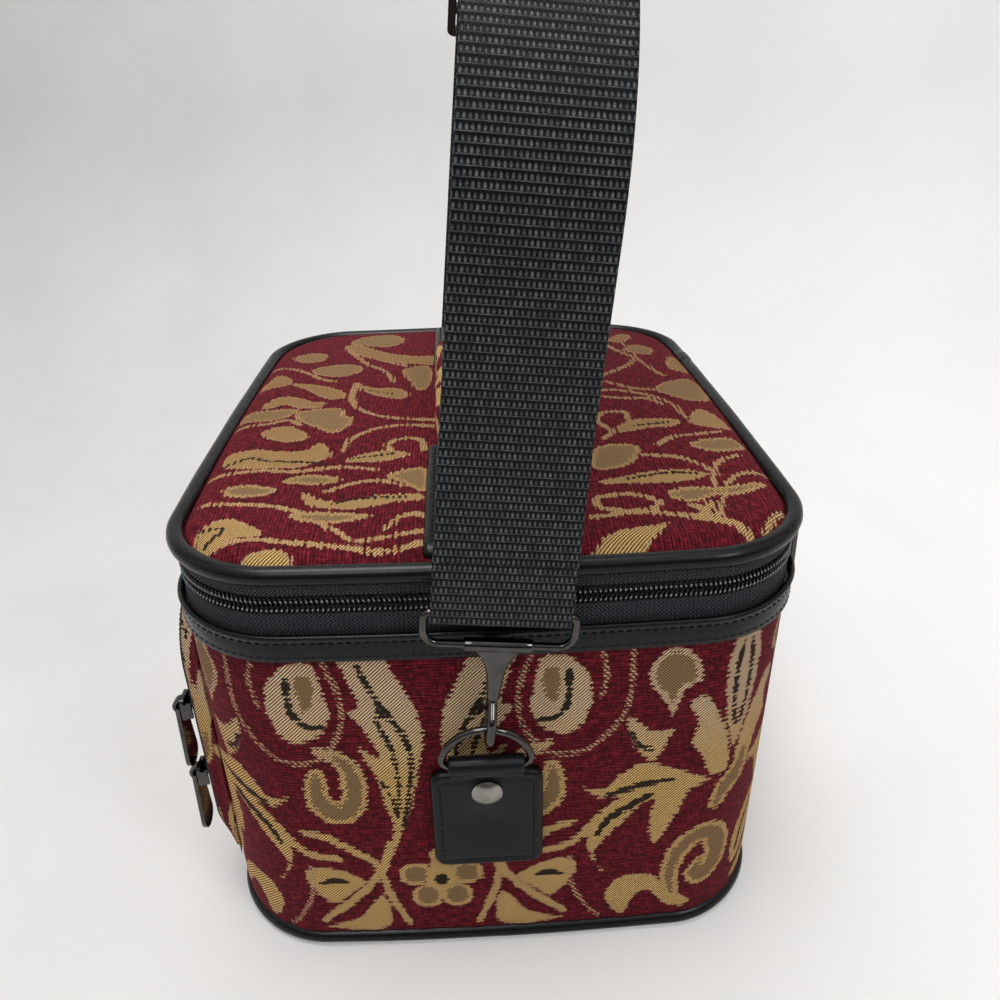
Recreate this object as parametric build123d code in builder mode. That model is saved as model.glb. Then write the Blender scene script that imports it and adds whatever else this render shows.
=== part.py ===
"""Soft cosmetic case: zipped lid, zipped front pocket, top handle and a hooked shoulder strap.

Millimetres. The origin is the centre of the base, +Z is up, +X is the hinge side and -X the pocket
side. The strap clips to the two ends: near at -Y, far at +Y.
"""
import os
from math import asin, cos, degrees, radians, sin, sqrt, tan

from build123d import *

os.makedirs("parts", exist_ok=True)

# Plan of the case, and the clearances
lid_width = 196.0
lid_length = 232.0
lid_corner = 36.0
wall_inset = 1.8
fit = 0.2
clearance = 0.3
overrun = 2.0

# Body: base, wall, lining and the bands round the mouth
base_thickness = 4.0
wall_thickness = 3.0
wall_top = 134.0
lining_thickness = 1.0
lining_drop = 3.0
base_piping_diameter = 5.4
base_piping_lift = 0.5
base_piping_proud = 1.2
rim_band_thickness = 1.4
rim_band_height = 9.0
rim_band_rise = 1.0
rim_band_edge = 0.6

# Zip round the mouth
tape_thickness = 1.0
tape_inset = 1.0
tape_height = 7.2
coil_depth = 2.4
coil_height = 2.7
coil_edge = 0.7
zip_gap = 0.6
upper_tape_height = 3.9
hinge_thickness = 1.2
hinge_rise = 5.0
hinge_margin = 16.0

# Lid
lid_piping_diameter = 6.4
lid_thickness = 5.0
lid_crown = 3.4
lid_lining_thickness = 1.0

# Handle on the lid
handle_band_width = 38.0
handle_band_start = 44.0
handle_band_margin = 3.0
handle_band_thickness = 1.6
grip_width = 32.0
grip_thickness = 9.0
grip_half_span = 58.0
grip_foot = 13.0
grip_rise = 11.0
grip_edge = 3.0

# Zip sliders and pulls
slider_length = 9.0
slider_plate = 1.2
slider_flange = 0.9
slider_corner = 1.5
bail_inner = 2.5
bail_wire = 1.1
bail_width = 2.4
pull_thickness = 1.4
pull_pin_height = 1.4
pull_top_width = 6.2
pull_window_length = 6.0
pull_length = 26.0
pull_end_radius = 4.8
main_slider_y = -74.0

# Front pocket
pocket_width = 152.0
pocket_bottom = 20.0
pocket_top = 116.0
pocket_corner = 14.0
pocket_depth = 7.0
pocket_edge = 3.0
pocket_tape_width = 9.0
pocket_tape_depth = 4.6
pocket_coil_width = 5.2
upper_slider_z = 84.0
lower_slider_z = 53.5

# Leather tabs, rivets and D-rings on the two ends
tab_centre_x = -3.5
tab_width = 35.0
tab_bottom = 42.5
tab_top = 83.0
tab_corner = 5.0
tab_shoulder = 2.5
tab_thickness = 3.4
neck_width = 20.6
neck_leather = 1.3
rivet_head_radius = 4.8
rivet_rim = 0.5
rivet_dome_height = 1.5
rivet_shank_radius = 1.6
rivet_drop = 7.5
ring_level = 91.0
ring_standoff = 7.5
ring_inner_width = 24.4
ring_wire = 2.6
ring_bend = 2.6

# Snap hooks; heights are measured from the ring's bar
strap_lean = 5.5
hook_thickness = 2.6
hook_width = 3.0
hook_edge = 0.9
hook_bowl_radius = 3.3
hook_play = 0.6
hook_spine = 4.9
hook_neck_height = 24.0
hook_neck_bend = 3.0
hook_tip = 3.0
stem_radius = 1.1
stem_length = 7.0
gate_thickness = 2.0
gate_reach = 2.6
gate_height = 22.6
gate_gap = 0.95
socket_foot_radius = 2.2
socket_waist_height = 33.0
socket_waist_half = 2.9
socket_flare_height = 39.5
socket_flare_half = 4.8
socket_top_half = 9.0
socket_half_depth = 2.3
sleeve_radius = 2.4
sleeve_length = 20.0
loop_wire = 2.6
loop_level = 44.0
loop_height = 10.0
loop_corner = 4.4
loop_top_corner = 2.0

# Shoulder strap
webbing_width = 38.0
webbing_thickness = 1.7
webbing_side_gap = 0.4
webbing_ply_gap = 0.4
strap_tail = 18.0
leg_draw = 3.5
leg_bend_height = 107.5
leg_bend_radius = 60.0
shoulder_height = 211.5
shoulder_radius = 70.0
apex_rise = 20.0
apex_radius = 200.0
return_angle = 62.0
adjuster_length = 26.0
adjuster_rail = 3.4
adjuster_bar = 3.6
adjuster_thickness = 2.6
adjuster_corner = 3.0
adjuster_angle = 44.0

# Places worked out from the sizes above
case_width = lid_width - 2 * wall_inset
case_length = lid_length - 2 * wall_inset
case_corner = lid_corner - wall_inset
base_piping_level = base_piping_lift + base_piping_diameter / 2
base_piping_inset = base_piping_diameter - base_piping_proud + fit
wall_bottom = base_piping_lift + base_piping_diameter + fit
rim_band_top = wall_top + rim_band_rise
zip_level = wall_top + tape_height + coil_height
tape_outset = -tape_inset
coil_outset = tape_outset + (coil_depth - tape_thickness) / 2
upper_coil_bottom = zip_level + zip_gap / 2
upper_tape_bottom = upper_coil_bottom + coil_height
lid_piping_level = upper_tape_bottom + upper_tape_height + lid_piping_diameter / 2
lid_bottom = lid_piping_level - lid_piping_diameter / 2
lid_inner_inset = lid_piping_diameter + fit
panel_width = lid_width - 2 * lid_inner_inset
panel_length = lid_length - 2 * lid_inner_inset
panel_corner = lid_corner - lid_inner_inset
panel_reach = sqrt(panel_width ** 2 + panel_length ** 2) / 2
dome_radius = (panel_reach ** 2 + lid_crown ** 2) / (2 * lid_crown)
lid_apex = lid_bottom + lid_thickness + lid_crown
hinge_x = lid_width / 2
back_straight = lid_length - 2 * lid_corner
end_face = case_length / 2
ring_y = end_face + ring_standoff
leg_half_span = ring_y - leg_draw
ring_radius = (ring_inner_width + ring_wire) / 2
lean_up = (sin(radians(strap_lean)), 0, cos(radians(strap_lean)))
lean_across = (cos(radians(strap_lean)), 0, -sin(radians(strap_lean)))
pivot = (tab_centre_x, 0, ring_level)
near_pivot = (tab_centre_x, -ring_y, ring_level)
strap_side = Plane(origin=pivot, x_dir=(0, 1, 0), z_dir=lean_across)
near_front = Plane(origin=near_pivot, x_dir=lean_across, z_dir=(0, -1, 0))
stem_plane = Plane(origin=near_pivot, x_dir=lean_across, z_dir=lean_up)
near_face = Plane(origin=(tab_centre_x, -end_face, 0), x_dir=(1, 0, 0), z_dir=(0, -1, 0))
front_face = Plane(origin=(-case_width / 2, 0, 0), x_dir=(0, -1, 0), z_dir=(-1, 0, 0))


def save(piece, name):
    """Label a finished piece and write it to its own file."""
    piece.part.label = name
    export_step(piece.part, f"parts/{name}.step")


def plan_outline(outset):
    """The wall's outline, moved out by outset."""
    return RectangleRounded(case_width + 2 * outset, case_length + 2 * outset, case_corner + outset)


def plan_ring(bottom, height, outset, thickness):
    """An upright band that follows the wall's outline, its outer face at outset."""
    with BuildPart() as ring:
        with BuildSketch(Plane.XY.offset(bottom)):
            plan_outline(outset)
            inner = outset - thickness
            RectangleRounded(
                case_width + 2 * inner, case_length + 2 * inner, case_corner + inner, mode=Mode.SUBTRACT
            )
        extrude(amount=height)
    return ring


def plan_piping(level, width, length, corner, diameter):
    """A round tube whose outer side follows a rounded rectangle."""
    with BuildSketch(Plane.XY.offset(level)) as course:
        RectangleRounded(width - diameter, length - diameter, corner - diameter / 2)
    path = course.sketch.face().outer_wire()
    with BuildPart() as tube:
        with BuildSketch(Plane(origin=path @ 0, z_dir=path % 0)):
            Circle(diameter / 2)
        sweep(path=path)
    return tube


def save_mirrored(piece, name):
    """The same piece at the far end."""
    with BuildPart() as copy:
        mirror(piece.part, about=Plane.XZ)
    save(copy, name)


# Base and wall
with BuildPart() as base_panel:
    with BuildSketch():
        plan_outline(-base_piping_inset)
    extrude(amount=base_thickness)
save(base_panel, "base_panel")

body_wall = plan_ring(wall_bottom, wall_top - wall_bottom, 0, wall_thickness)
save(body_wall, "body_wall")

lining_inset = max(wall_thickness + fit, base_piping_inset)
with BuildPart() as body_lining:
    with BuildSketch(Plane.XY.offset(base_thickness + fit)):
        plan_outline(-lining_inset)
    extrude(amount=wall_top - lining_drop - base_thickness - fit)
    mouth = body_lining.faces().sort_by(Axis.Z)[-1]
    offset(amount=-lining_thickness, openings=mouth)
save(body_lining, "body_lining")

# The piping lies round the panel, under the foot of the wall
base_piping = plan_piping(
    base_piping_level,
    case_width + 2 * base_piping_proud,
    case_length + 2 * base_piping_proud,
    case_corner + base_piping_proud,
    base_piping_diameter,
)
save(base_piping, "base_piping")

# Bound edge of the mouth, with its outer top edge rounded
rim_band_bottom = rim_band_top - rim_band_height
rim_band = plan_ring(rim_band_bottom, rim_band_height, rim_band_thickness + fit, rim_band_thickness)
with rim_band:
    top_face = rim_band.faces().sort_by(Axis.Z)[-1]
    fillet(top_face.outer_wire().edges(), rim_band_edge)
save(rim_band, "rim_band")

# Lower half of the zip
lower_zip_tape = plan_ring(wall_top, tape_height, tape_outset, tape_thickness)
save(lower_zip_tape, "lower_zip_tape")

lower_zip_coil = plan_ring(wall_top + tape_height, coil_height - zip_gap / 2, coil_outset, coil_depth)
with lower_zip_coil:
    rounded = lower_zip_coil.faces().sort_by(Axis.Z)[-1]
    fillet(rounded.edges(), coil_edge)
save(lower_zip_coil, "lower_zip_coil")

# Fabric hinge at the back, standing on the bound edge
hinge_start = main_slider_y + slider_length / 2 + hinge_margin
hinge_length = back_straight / 2 - hinge_start
with BuildPart() as hinge_strip:
    with BuildSketch(Plane.XY.offset(rim_band_top)):
        with Locations((case_width / 2 + fit, hinge_start + hinge_length / 2)):
            Rectangle(hinge_thickness, hinge_length, align=(Align.MIN, Align.CENTER))
    extrude(amount=zip_level + hinge_rise - rim_band_top)
save(hinge_strip, "hinge_strip")

# Lid: crowned panel, lining, piping and the upper half of the zip
with BuildPart() as lid_panel:
    with BuildSketch(Plane.XY.offset(lid_bottom)):
        RectangleRounded(panel_width, panel_length, panel_corner)
    extrude(amount=lid_thickness + lid_crown)
    with Locations((0, 0, lid_apex - dome_radius)):
        Sphere(dome_radius, mode=Mode.INTERSECT)
save(lid_panel, "lid_panel")

with BuildPart() as lid_lining:
    with BuildSketch(Plane.XY.offset(lid_bottom - fit)):
        RectangleRounded(panel_width, panel_length, panel_corner)
    extrude(amount=-lid_lining_thickness)
save(lid_lining, "lid_lining")

lid_piping = plan_piping(lid_piping_level, lid_width, lid_length, lid_corner, lid_piping_diameter)
save(lid_piping, "lid_piping")

# The upper tape and coil run round three sides and stop where the back is straight
back_cut = 2 * lid_corner
upper_zip_tape = plan_ring(upper_tape_bottom, upper_tape_height, tape_outset, tape_thickness)
with upper_zip_tape:
    with Locations((hinge_x, 0, upper_tape_bottom + upper_tape_height / 2)):
        Box(back_cut, back_straight, upper_tape_height + overrun, mode=Mode.SUBTRACT)
save(upper_zip_tape, "upper_zip_tape")

upper_zip_coil = plan_ring(upper_coil_bottom, coil_height, coil_outset, coil_depth)
with upper_zip_coil:
    rounded = upper_zip_coil.faces().sort_by(Axis.Z)[0]
    fillet(rounded.edges(), coil_edge)
    with Locations((hinge_x, 0, upper_coil_bottom + coil_height / 2)):
        Box(back_cut, back_straight, coil_height + overrun, mode=Mode.SUBTRACT)
save(upper_zip_coil, "upper_zip_coil")

# Handle: two flat bands that follow the crown, and an arched grip between them
handle_band_end = panel_length / 2 - handle_band_margin
with BuildPart() as near_handle_band:
    with BuildSketch(Plane.XY.offset(lid_bottom + lid_thickness / 2)):
        with Locations((0, -(handle_band_start + handle_band_end) / 2)):
            Rectangle(handle_band_width, handle_band_end - handle_band_start)
    extrude(amount=lid_thickness + lid_crown + handle_band_thickness)
    with Locations((0, 0, lid_apex - dome_radius)):
        Sphere(dome_radius + fit + handle_band_thickness, mode=Mode.INTERSECT)
        Sphere(dome_radius + fit, mode=Mode.SUBTRACT)
save(near_handle_band, "near_handle_band")
save_mirrored(near_handle_band, "far_handle_band")

grip_foot_level = lid_apex + handle_band_thickness + 2 * fit
grip_inner_half = grip_half_span - grip_foot
grip_side = Plane(origin=(-grip_width / 2, 0, grip_foot_level), x_dir=(0, 1, 0), z_dir=(1, 0, 0))
with BuildPart() as handle_grip:
    with BuildSketch(grip_side):
        with BuildLine():
            Line((grip_half_span, 0), (grip_inner_half, 0))
            ThreePointArc((grip_inner_half, 0), (0, grip_rise), (-grip_inner_half, 0))
            Line((-grip_inner_half, 0), (-grip_half_span, 0))
            ThreePointArc((-grip_half_span, 0), (0, grip_rise + grip_thickness), (grip_half_span, 0))
        make_face()
    extrude(amount=grip_width)
    long_edges = handle_grip.edges().filter_by(GeomType.CIRCLE).sort_by(Axis.Z)[-2:]
    fillet(long_edges, grip_edge)
save(handle_grip, "handle_grip")

# Front pocket: padded panel, zip tape round three sides of it, and the closed coil
tape_half = pocket_width / 2 + clearance + pocket_tape_width / 2
tape_level = pocket_top + clearance + pocket_tape_width / 2
with BuildPart() as pocket_panel:
    with BuildSketch(front_face.offset(fit)) as pocket_outline:
        with Locations((0, pocket_bottom)):
            Rectangle(pocket_width, pocket_top - pocket_bottom, align=(Align.CENTER, Align.MIN))
        fillet(pocket_outline.vertices().group_by(Axis.Y)[-1], pocket_corner)
    extrude(amount=pocket_depth)
    outer_face = pocket_panel.faces().sort_by(Axis.X)[0]
    fillet(outer_face.edges(), pocket_edge)
save(pocket_panel, "pocket_panel")


def pocket_run(inner, depth, width):
    """A strip of the zip that runs up one side of the pocket, over its top and down the other side."""
    with BuildPart() as strip:
        with BuildSketch(front_face.offset(inner)):
            with BuildLine():
                FilletPolyline(
                    (-tape_half, pocket_bottom),
                    (-tape_half, tape_level),
                    (tape_half, tape_level),
                    (tape_half, pocket_bottom),
                    radius=pocket_corner + clearance + pocket_tape_width / 2,
                )
            trace(line_width=width)
        extrude(amount=depth)
    return strip


pocket_tape = pocket_run(fit, pocket_tape_depth, pocket_tape_width)
save(pocket_tape, "pocket_tape")

pocket_coil_inner = fit + pocket_tape_depth
pocket_coil = pocket_run(pocket_coil_inner, coil_depth, pocket_coil_width)
save(pocket_coil, "pocket_coil")


def zip_slider(seat, run, chain_width, flange_reach):
    """A cap over the chain with a bail; seat lies on the chain, its y up, its z outward; run is along it."""
    along = Plane(origin=seat.origin, x_dir=run, z_dir=seat.z_dir)
    flange_middle = (chain_width + slider_flange) / 2 + clearance
    cap_width = 2 * flange_middle + slider_flange
    with BuildPart() as slider:
        with BuildSketch(along.offset(clearance)):
            RectangleRounded(slider_length, cap_width, slider_corner)
        extrude(amount=slider_plate)
        with BuildSketch(along.offset(clearance)):
            with Locations((0, flange_middle), (0, -flange_middle)):
                Rectangle(slider_length - 2 * slider_corner, slider_flange)
        extrude(amount=-flange_reach)
        with BuildSketch(Plane(origin=seat.origin, x_dir=seat.y_dir, z_dir=seat.x_dir)):
            with Locations((0, clearance + slider_plate)):
                Circle(bail_inner + bail_wire)
                Circle(bail_inner, mode=Mode.SUBTRACT)
                Rectangle(
                    2 * (bail_inner + bail_wire),
                    bail_inner + bail_wire,
                    align=(Align.CENTER, Align.MAX),
                    mode=Mode.SUBTRACT,
                )
        extrude(amount=bail_width / 2, both=True)
    return slider


def zip_pull(seat):
    """A pull with a window that hangs from the slider's bail on its own cross pin."""
    level = clearance + slider_plate + pull_pin_height - pull_thickness / 2
    window_width = bail_width + 2 * clearance
    plate_top = pull_window_length + pull_thickness
    with BuildPart() as pull:
        with BuildSketch(seat.offset(level)) as outline:
            with Locations((0, pull_thickness / 2)):
                Rectangle(pull_top_width, plate_top, align=(Align.CENTER, Align.MAX))
            with Locations((0, pull_end_radius - pull_length)):
                Circle(pull_end_radius)
            make_hull()
            with Locations((0, -pull_thickness / 2)):
                Rectangle(
                    window_width, pull_window_length, align=(Align.CENTER, Align.MAX), mode=Mode.SUBTRACT
                )
        extrude(amount=pull_thickness)
    return pull


main_seat = Plane(
    origin=(case_width / 2 + coil_outset, main_slider_y, zip_level), x_dir=(0, 1, 0), z_dir=(1, 0, 0)
)
main_chain = 2 * coil_height
main_reach = (coil_depth - tape_thickness) / 2
save(zip_slider(main_seat, main_seat.x_dir, main_chain, main_reach), "main_slider")
save(zip_pull(main_seat), "main_pull")

pocket_seat_depth = pocket_coil_inner + coil_depth
for slider_name, slider_z in (("upper_pocket", upper_slider_z), ("lower_pocket", lower_slider_z)):
    pocket_seat = Plane(
        origin=(-case_width / 2 - pocket_seat_depth, -tape_half, slider_z),
        x_dir=(0, -1, 0),
        z_dir=(-1, 0, 0),
    )
    save(zip_slider(pocket_seat, pocket_seat.y_dir, pocket_coil_width, coil_depth), f"{slider_name}_slider")
    save(zip_pull(pocket_seat), f"{slider_name}_pull")

# Leather tab: a doubled plate on the end wall, its neck folded round the ring's bar
rivet_level = tab_top - rivet_drop
neck_radius = ring_wire / 2 + clearance + neck_leather
with BuildPart() as near_tab:
    with BuildSketch(near_face.offset(fit)) as tab_outline:
        with Locations((0, tab_bottom)):
            Rectangle(tab_width, tab_top - tab_bottom, align=(Align.CENTER, Align.MIN))
        chamfer(tab_outline.vertices().group_by(Axis.Y)[-1], tab_shoulder)
        fillet(tab_outline.vertices().group_by(Axis.Y)[0], tab_corner)
    extrude(amount=tab_thickness)
    with BuildSketch(Plane.YZ.offset(tab_centre_x)):
        with Locations((-ring_y, ring_level)):
            Circle(neck_radius)
        with Locations((-end_face - fit, tab_top - tab_shoulder)):
            Rectangle(tab_thickness, tab_shoulder, align=(Align.MAX, Align.MIN))
        make_hull()
        with Locations((-ring_y, ring_level)):
            Circle(ring_wire / 2 + clearance, mode=Mode.SUBTRACT)
    extrude(amount=neck_width / 2, both=True)
    with Locations(near_face.offset(fit + tab_thickness)):
        with Locations((0, rivet_level)):
            Hole(rivet_shank_radius + fit, depth=tab_thickness + overrun)
save(near_tab, "near_tab")
save_mirrored(near_tab, "far_tab")

rivet_axis_plane = Plane(
    origin=(tab_centre_x, -end_face - fit, rivet_level), x_dir=(1, 0, 0), z_dir=(0, 0, -1)
)
rivet_seat = tab_thickness + fit
rivet_top = rivet_seat + rivet_rim + rivet_dome_height
rivet_dome_radius = (rivet_head_radius ** 2 + rivet_dome_height ** 2) / (2 * rivet_dome_height)
rivet_dome_angle = degrees(asin(rivet_head_radius / rivet_dome_radius))
with BuildPart() as near_rivet:
    with BuildSketch(rivet_axis_plane):
        with BuildLine():
            Polyline(
                (0, rivet_top),
                (0, 0),
                (rivet_shank_radius, 0),
                (rivet_shank_radius, rivet_seat),
                (rivet_head_radius, rivet_seat),
                (rivet_head_radius, rivet_seat + rivet_rim),
            )
            CenterArc(
                (0, rivet_top - rivet_dome_radius),
                rivet_dome_radius,
                90 - rivet_dome_angle,
                rivet_dome_angle,
            )
        make_face()
    revolve(axis=Axis((tab_centre_x, 0, rivet_level), (0, 1, 0)))
save(near_rivet, "near_rivet")
save_mirrored(near_rivet, "far_rivet")

# D-ring: a straight bar and a half circle about its middle
with BuildLine(Plane(origin=near_pivot, x_dir=(1, 0, 0), z_dir=(0, -1, 0))) as ring_path:
    Line((-ring_radius, 0), (ring_radius, 0))
    ThreePointArc((ring_radius, 0), (0, ring_radius), (-ring_radius, 0))
    fillet(ring_path.vertices(), ring_bend)
ring_wire_path = ring_path.wire()
with BuildPart() as near_d_ring:
    with BuildSketch(Plane(origin=ring_wire_path @ 0, z_dir=ring_wire_path % 0)):
        Circle(ring_wire / 2)
    sweep(path=ring_wire_path)
save(near_d_ring, "near_d_ring")
save_mirrored(near_d_ring, "far_d_ring")

# Snap hook: spine and bowl in one bent bar, with the swivel stem on top
bowl_middle = hook_bowl_radius + hook_thickness / 2
bowl_height = ring_radius - ring_wire / 2 - hook_play + hook_bowl_radius
spine_top = bowl_height + hook_spine
tip_height = bowl_height + hook_tip
with BuildPart() as near_hook:
    with BuildSketch(strap_side.offset(-hook_width / 2)):
        with BuildLine():
            neck = (-ring_y, hook_neck_height)
            FilletPolyline(
                neck,
                (-ring_y - bowl_middle, spine_top),
                (-ring_y - bowl_middle, bowl_height),
                radius=hook_neck_bend,
            )
            ThreePointArc(
                (-ring_y - bowl_middle, bowl_height),
                (-ring_y, bowl_height - bowl_middle),
                (-ring_y + bowl_middle, bowl_height),
            )
            Line((-ring_y + bowl_middle, bowl_height), (-ring_y + bowl_middle, tip_height))
        trace(line_width=hook_thickness)
    extrude(amount=hook_width)
    flat_sides = near_hook.faces().sort_by(Axis(pivot, lean_across))
    fillet(flat_sides[0].edges() + flat_sides[-1].edges(), hook_edge)
    with BuildSketch(stem_plane.offset(hook_neck_height - hook_thickness / 2)):
        Circle(stem_radius)
    extrude(amount=stem_length + hook_thickness / 2)
save(near_hook, "near_hook")
save_mirrored(near_hook, "far_hook")

# Gate: a sprung lever from the neck down to the tip
with BuildPart() as near_gate:
    with BuildSketch(strap_side.offset(-hook_width / 2)):
        with BuildLine():
            Line(
                (-ring_y + gate_reach, gate_height),
                (-ring_y + bowl_middle, tip_height + gate_gap),
            )
        trace(line_width=gate_thickness)
    extrude(amount=hook_width)
save(near_gate, "near_gate")
save_mirrored(near_gate, "far_gate")

# Swivel socket: a trumpet under a sleeve that turns on the wire loop
socket_bottom = hook_neck_height + hook_thickness / 2 + clearance
with BuildPart() as near_hook_socket:
    with BuildSketch(stem_plane.offset(socket_bottom)):
        Circle(socket_foot_radius)
    with BuildSketch(stem_plane.offset(socket_waist_height)):
        Ellipse(socket_waist_half, socket_half_depth)
    with BuildSketch(stem_plane.offset(socket_flare_height)):
        Ellipse(socket_flare_half, socket_half_depth)
    with BuildSketch(stem_plane.offset(loop_level)):
        Ellipse(socket_top_half, socket_half_depth)
    loft()
    sleeve_plane = strap_side.offset(-sleeve_length / 2)
    with BuildSketch(sleeve_plane):
        with Locations((-ring_y, loop_level)):
            Circle(sleeve_radius)
    extrude(amount=sleeve_length)
    with BuildSketch(sleeve_plane):
        with Locations((-ring_y, loop_level)):
            Circle(loop_wire / 2 + fit)
    extrude(amount=sleeve_length, mode=Mode.SUBTRACT)
    with BuildSketch(stem_plane.offset(socket_bottom)):
        Circle(stem_radius + clearance)
    extrude(amount=stem_length + clearance - hook_thickness / 2, mode=Mode.SUBTRACT)
save(near_hook_socket, "near_hook_socket")
save_mirrored(near_hook_socket, "far_hook_socket")

# Wire loop that joins the socket to the webbing
loop_width = webbing_width + 2 * webbing_side_gap + loop_wire
with BuildSketch(near_front) as loop_course:
    with Locations((0, loop_level + loop_height / 2)):
        Rectangle(loop_width, loop_height)
    fillet(loop_course.vertices().group_by(Axis.Y)[0], loop_corner)
    fillet(loop_course.vertices().group_by(Axis.Y)[-1], loop_top_corner)
loop_path = loop_course.sketch.face().outer_wire()
with BuildPart() as near_hook_loop:
    with BuildSketch(Plane(origin=loop_path @ 0, z_dir=loop_path % 0)):
        Circle(loop_wire / 2)
    sweep(path=loop_path)
save(near_hook_loop, "near_hook_loop")
save_mirrored(near_hook_loop, "far_hook_loop")

# Webbing: tail, near loop, arch, far loop, and the second ply that runs back up to the adjuster
eye_height = loop_level + loop_height
eye_radius = loop_wire / 2 + clearance + webbing_thickness / 2
ply_pitch = webbing_thickness + webbing_ply_gap
inner_eye = ring_y - eye_radius
outer_eye = ring_y + eye_radius
tail_top = eye_height + strap_tail
leg_slope = (outer_eye - leg_half_span) / (leg_bend_height - eye_height)
tail_half_span = outer_eye - leg_slope * strap_tail - ply_pitch
shoulder_turn = 90 - Vector(leg_half_span, apex_rise).get_angle(Vector(1, 0))
arc_start = shoulder_height - shoulder_radius * tan(radians(shoulder_turn / 2))
return_half_span = leg_half_span + ply_pitch
shoulder_centre = (leg_half_span - shoulder_radius, arc_start)
with BuildPart() as strap_webbing:
    with BuildSketch(strap_side.offset(-webbing_width / 2)):
        with BuildLine():
            Line((-tail_half_span, tail_top), (-inner_eye, eye_height))
            ThreePointArc(
                (-inner_eye, eye_height),
                (-ring_y, eye_height - eye_radius),
                (-outer_eye, eye_height),
            )
            FilletPolyline(
                (-outer_eye, eye_height),
                (-leg_half_span, leg_bend_height),
                (-leg_half_span, shoulder_height),
                (0, shoulder_height + apex_rise),
                (leg_half_span, shoulder_height),
                (leg_half_span, leg_bend_height),
                (inner_eye, eye_height),
                radius=[
                    leg_bend_radius,
                    shoulder_radius,
                    apex_radius,
                    shoulder_radius,
                    leg_bend_radius,
                ],
            )
            ThreePointArc(
                (inner_eye, eye_height),
                (ring_y, eye_height - eye_radius),
                (outer_eye, eye_height),
            )
            FilletPolyline(
                (outer_eye, eye_height),
                (return_half_span, leg_bend_height),
                (return_half_span, arc_start),
                radius=leg_bend_radius,
            )
            CenterArc(shoulder_centre, shoulder_radius + ply_pitch, 0, return_angle)
        trace(line_width=webbing_thickness)
    extrude(amount=webbing_width)
save(strap_webbing, "strap_webbing")

# Adjuster: a three-bar slide on the outside of the doubled ply
adjuster_out = shoulder_radius + ply_pitch + webbing_thickness / 2 + clearance
adjuster_normal = (
    cos(radians(adjuster_angle)) * Vector(0, 1, 0) + sin(radians(adjuster_angle)) * Vector(*lean_up)
)
adjuster_origin = (
    Vector(*pivot)
    + shoulder_centre[0] * Vector(0, 1, 0)
    + shoulder_centre[1] * Vector(*lean_up)
    + adjuster_out * adjuster_normal
)
adjuster_width = webbing_width + 2 * (webbing_side_gap + adjuster_rail)
slot_length = (adjuster_length - 3 * adjuster_bar) / 2
with BuildPart() as strap_adjuster:
    with BuildSketch(Plane(origin=adjuster_origin, x_dir=lean_across, z_dir=adjuster_normal)):
        RectangleRounded(adjuster_width, adjuster_length, adjuster_corner)
        with GridLocations(0, slot_length + adjuster_bar, 1, 2):
            Rectangle(adjuster_width - 2 * adjuster_rail, slot_length, mode=Mode.SUBTRACT)
    extrude(amount=adjuster_thickness)
save(strap_adjuster, "strap_adjuster")
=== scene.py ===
"""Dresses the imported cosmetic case: tapestry panels, vinyl trim, zips, leather tabs, webbing and metal."""
import math
from functools import partialmethod

import bpy
import numpy as np
from mathutils import Matrix


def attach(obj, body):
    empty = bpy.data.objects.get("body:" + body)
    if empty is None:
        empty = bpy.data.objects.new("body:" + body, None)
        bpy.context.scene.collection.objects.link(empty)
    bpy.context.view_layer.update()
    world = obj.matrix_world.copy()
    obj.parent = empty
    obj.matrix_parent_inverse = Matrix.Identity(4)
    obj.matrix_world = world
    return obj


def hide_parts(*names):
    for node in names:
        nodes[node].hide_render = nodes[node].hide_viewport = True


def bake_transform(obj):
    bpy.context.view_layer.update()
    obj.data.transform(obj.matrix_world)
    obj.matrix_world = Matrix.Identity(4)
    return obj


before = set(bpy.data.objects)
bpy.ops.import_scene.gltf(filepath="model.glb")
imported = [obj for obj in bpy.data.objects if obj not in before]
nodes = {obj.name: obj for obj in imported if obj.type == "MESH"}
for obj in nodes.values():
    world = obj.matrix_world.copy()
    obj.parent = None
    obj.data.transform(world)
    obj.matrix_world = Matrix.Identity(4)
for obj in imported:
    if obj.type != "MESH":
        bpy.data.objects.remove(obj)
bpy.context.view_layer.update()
MM = 0.001

# Plan of the wall in millimetres, as in the CAD model
HALF_X, HALF_Y, CORNER = 96.2, 114.2, 34.2
FLAT_X, FLAT_Y = HALF_X - CORNER, HALF_Y - CORNER
QUARTER = CORNER * math.pi / 2
PERIMETER = 4 * (FLAT_X + FLAT_Y + QUARTER)
RUNS = np.cumsum([0, FLAT_X, QUARTER, 2 * FLAT_Y, QUARTER, 2 * FLAT_X, QUARTER, 2 * FLAT_Y, QUARTER, FLAT_X])
TURNS = np.radians([0, 0, 90, 90, 180, 180, 270, 270, 360, 360])
CORE_X = np.array([0, 1, 1, 1, 1, -1, -1, -1, -1, 0]) * FLAT_X
CORE_Y = np.array([-1, -1, -1, 1, 1, 1, 1, -1, -1, -1]) * FLAT_Y

WALL_BOTTOM, WALL_TOP = 6.2, 133.8
LID_APEX, DOME_RADIUS = 159.4, 2991.0
SEAM_TOP = 127.5
UP, ALONG_Y = np.array([0.0, 0.0, 1.0]), np.array([0.0, 1.0, 0.0])
ENDS = (("near", -1), ("far", 1))


def xyz(*parts):
    """Points from their coordinates, each an array or one number."""
    return np.stack(np.broadcast_arrays(*parts), -1)


def pairs(a, b):
    """Every pair of values from two lists, rows by columns."""
    return np.stack(np.meshgrid(a, b, indexing="ij"), -1)


def bell(q):
    return np.exp(-q ** 2)


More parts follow.
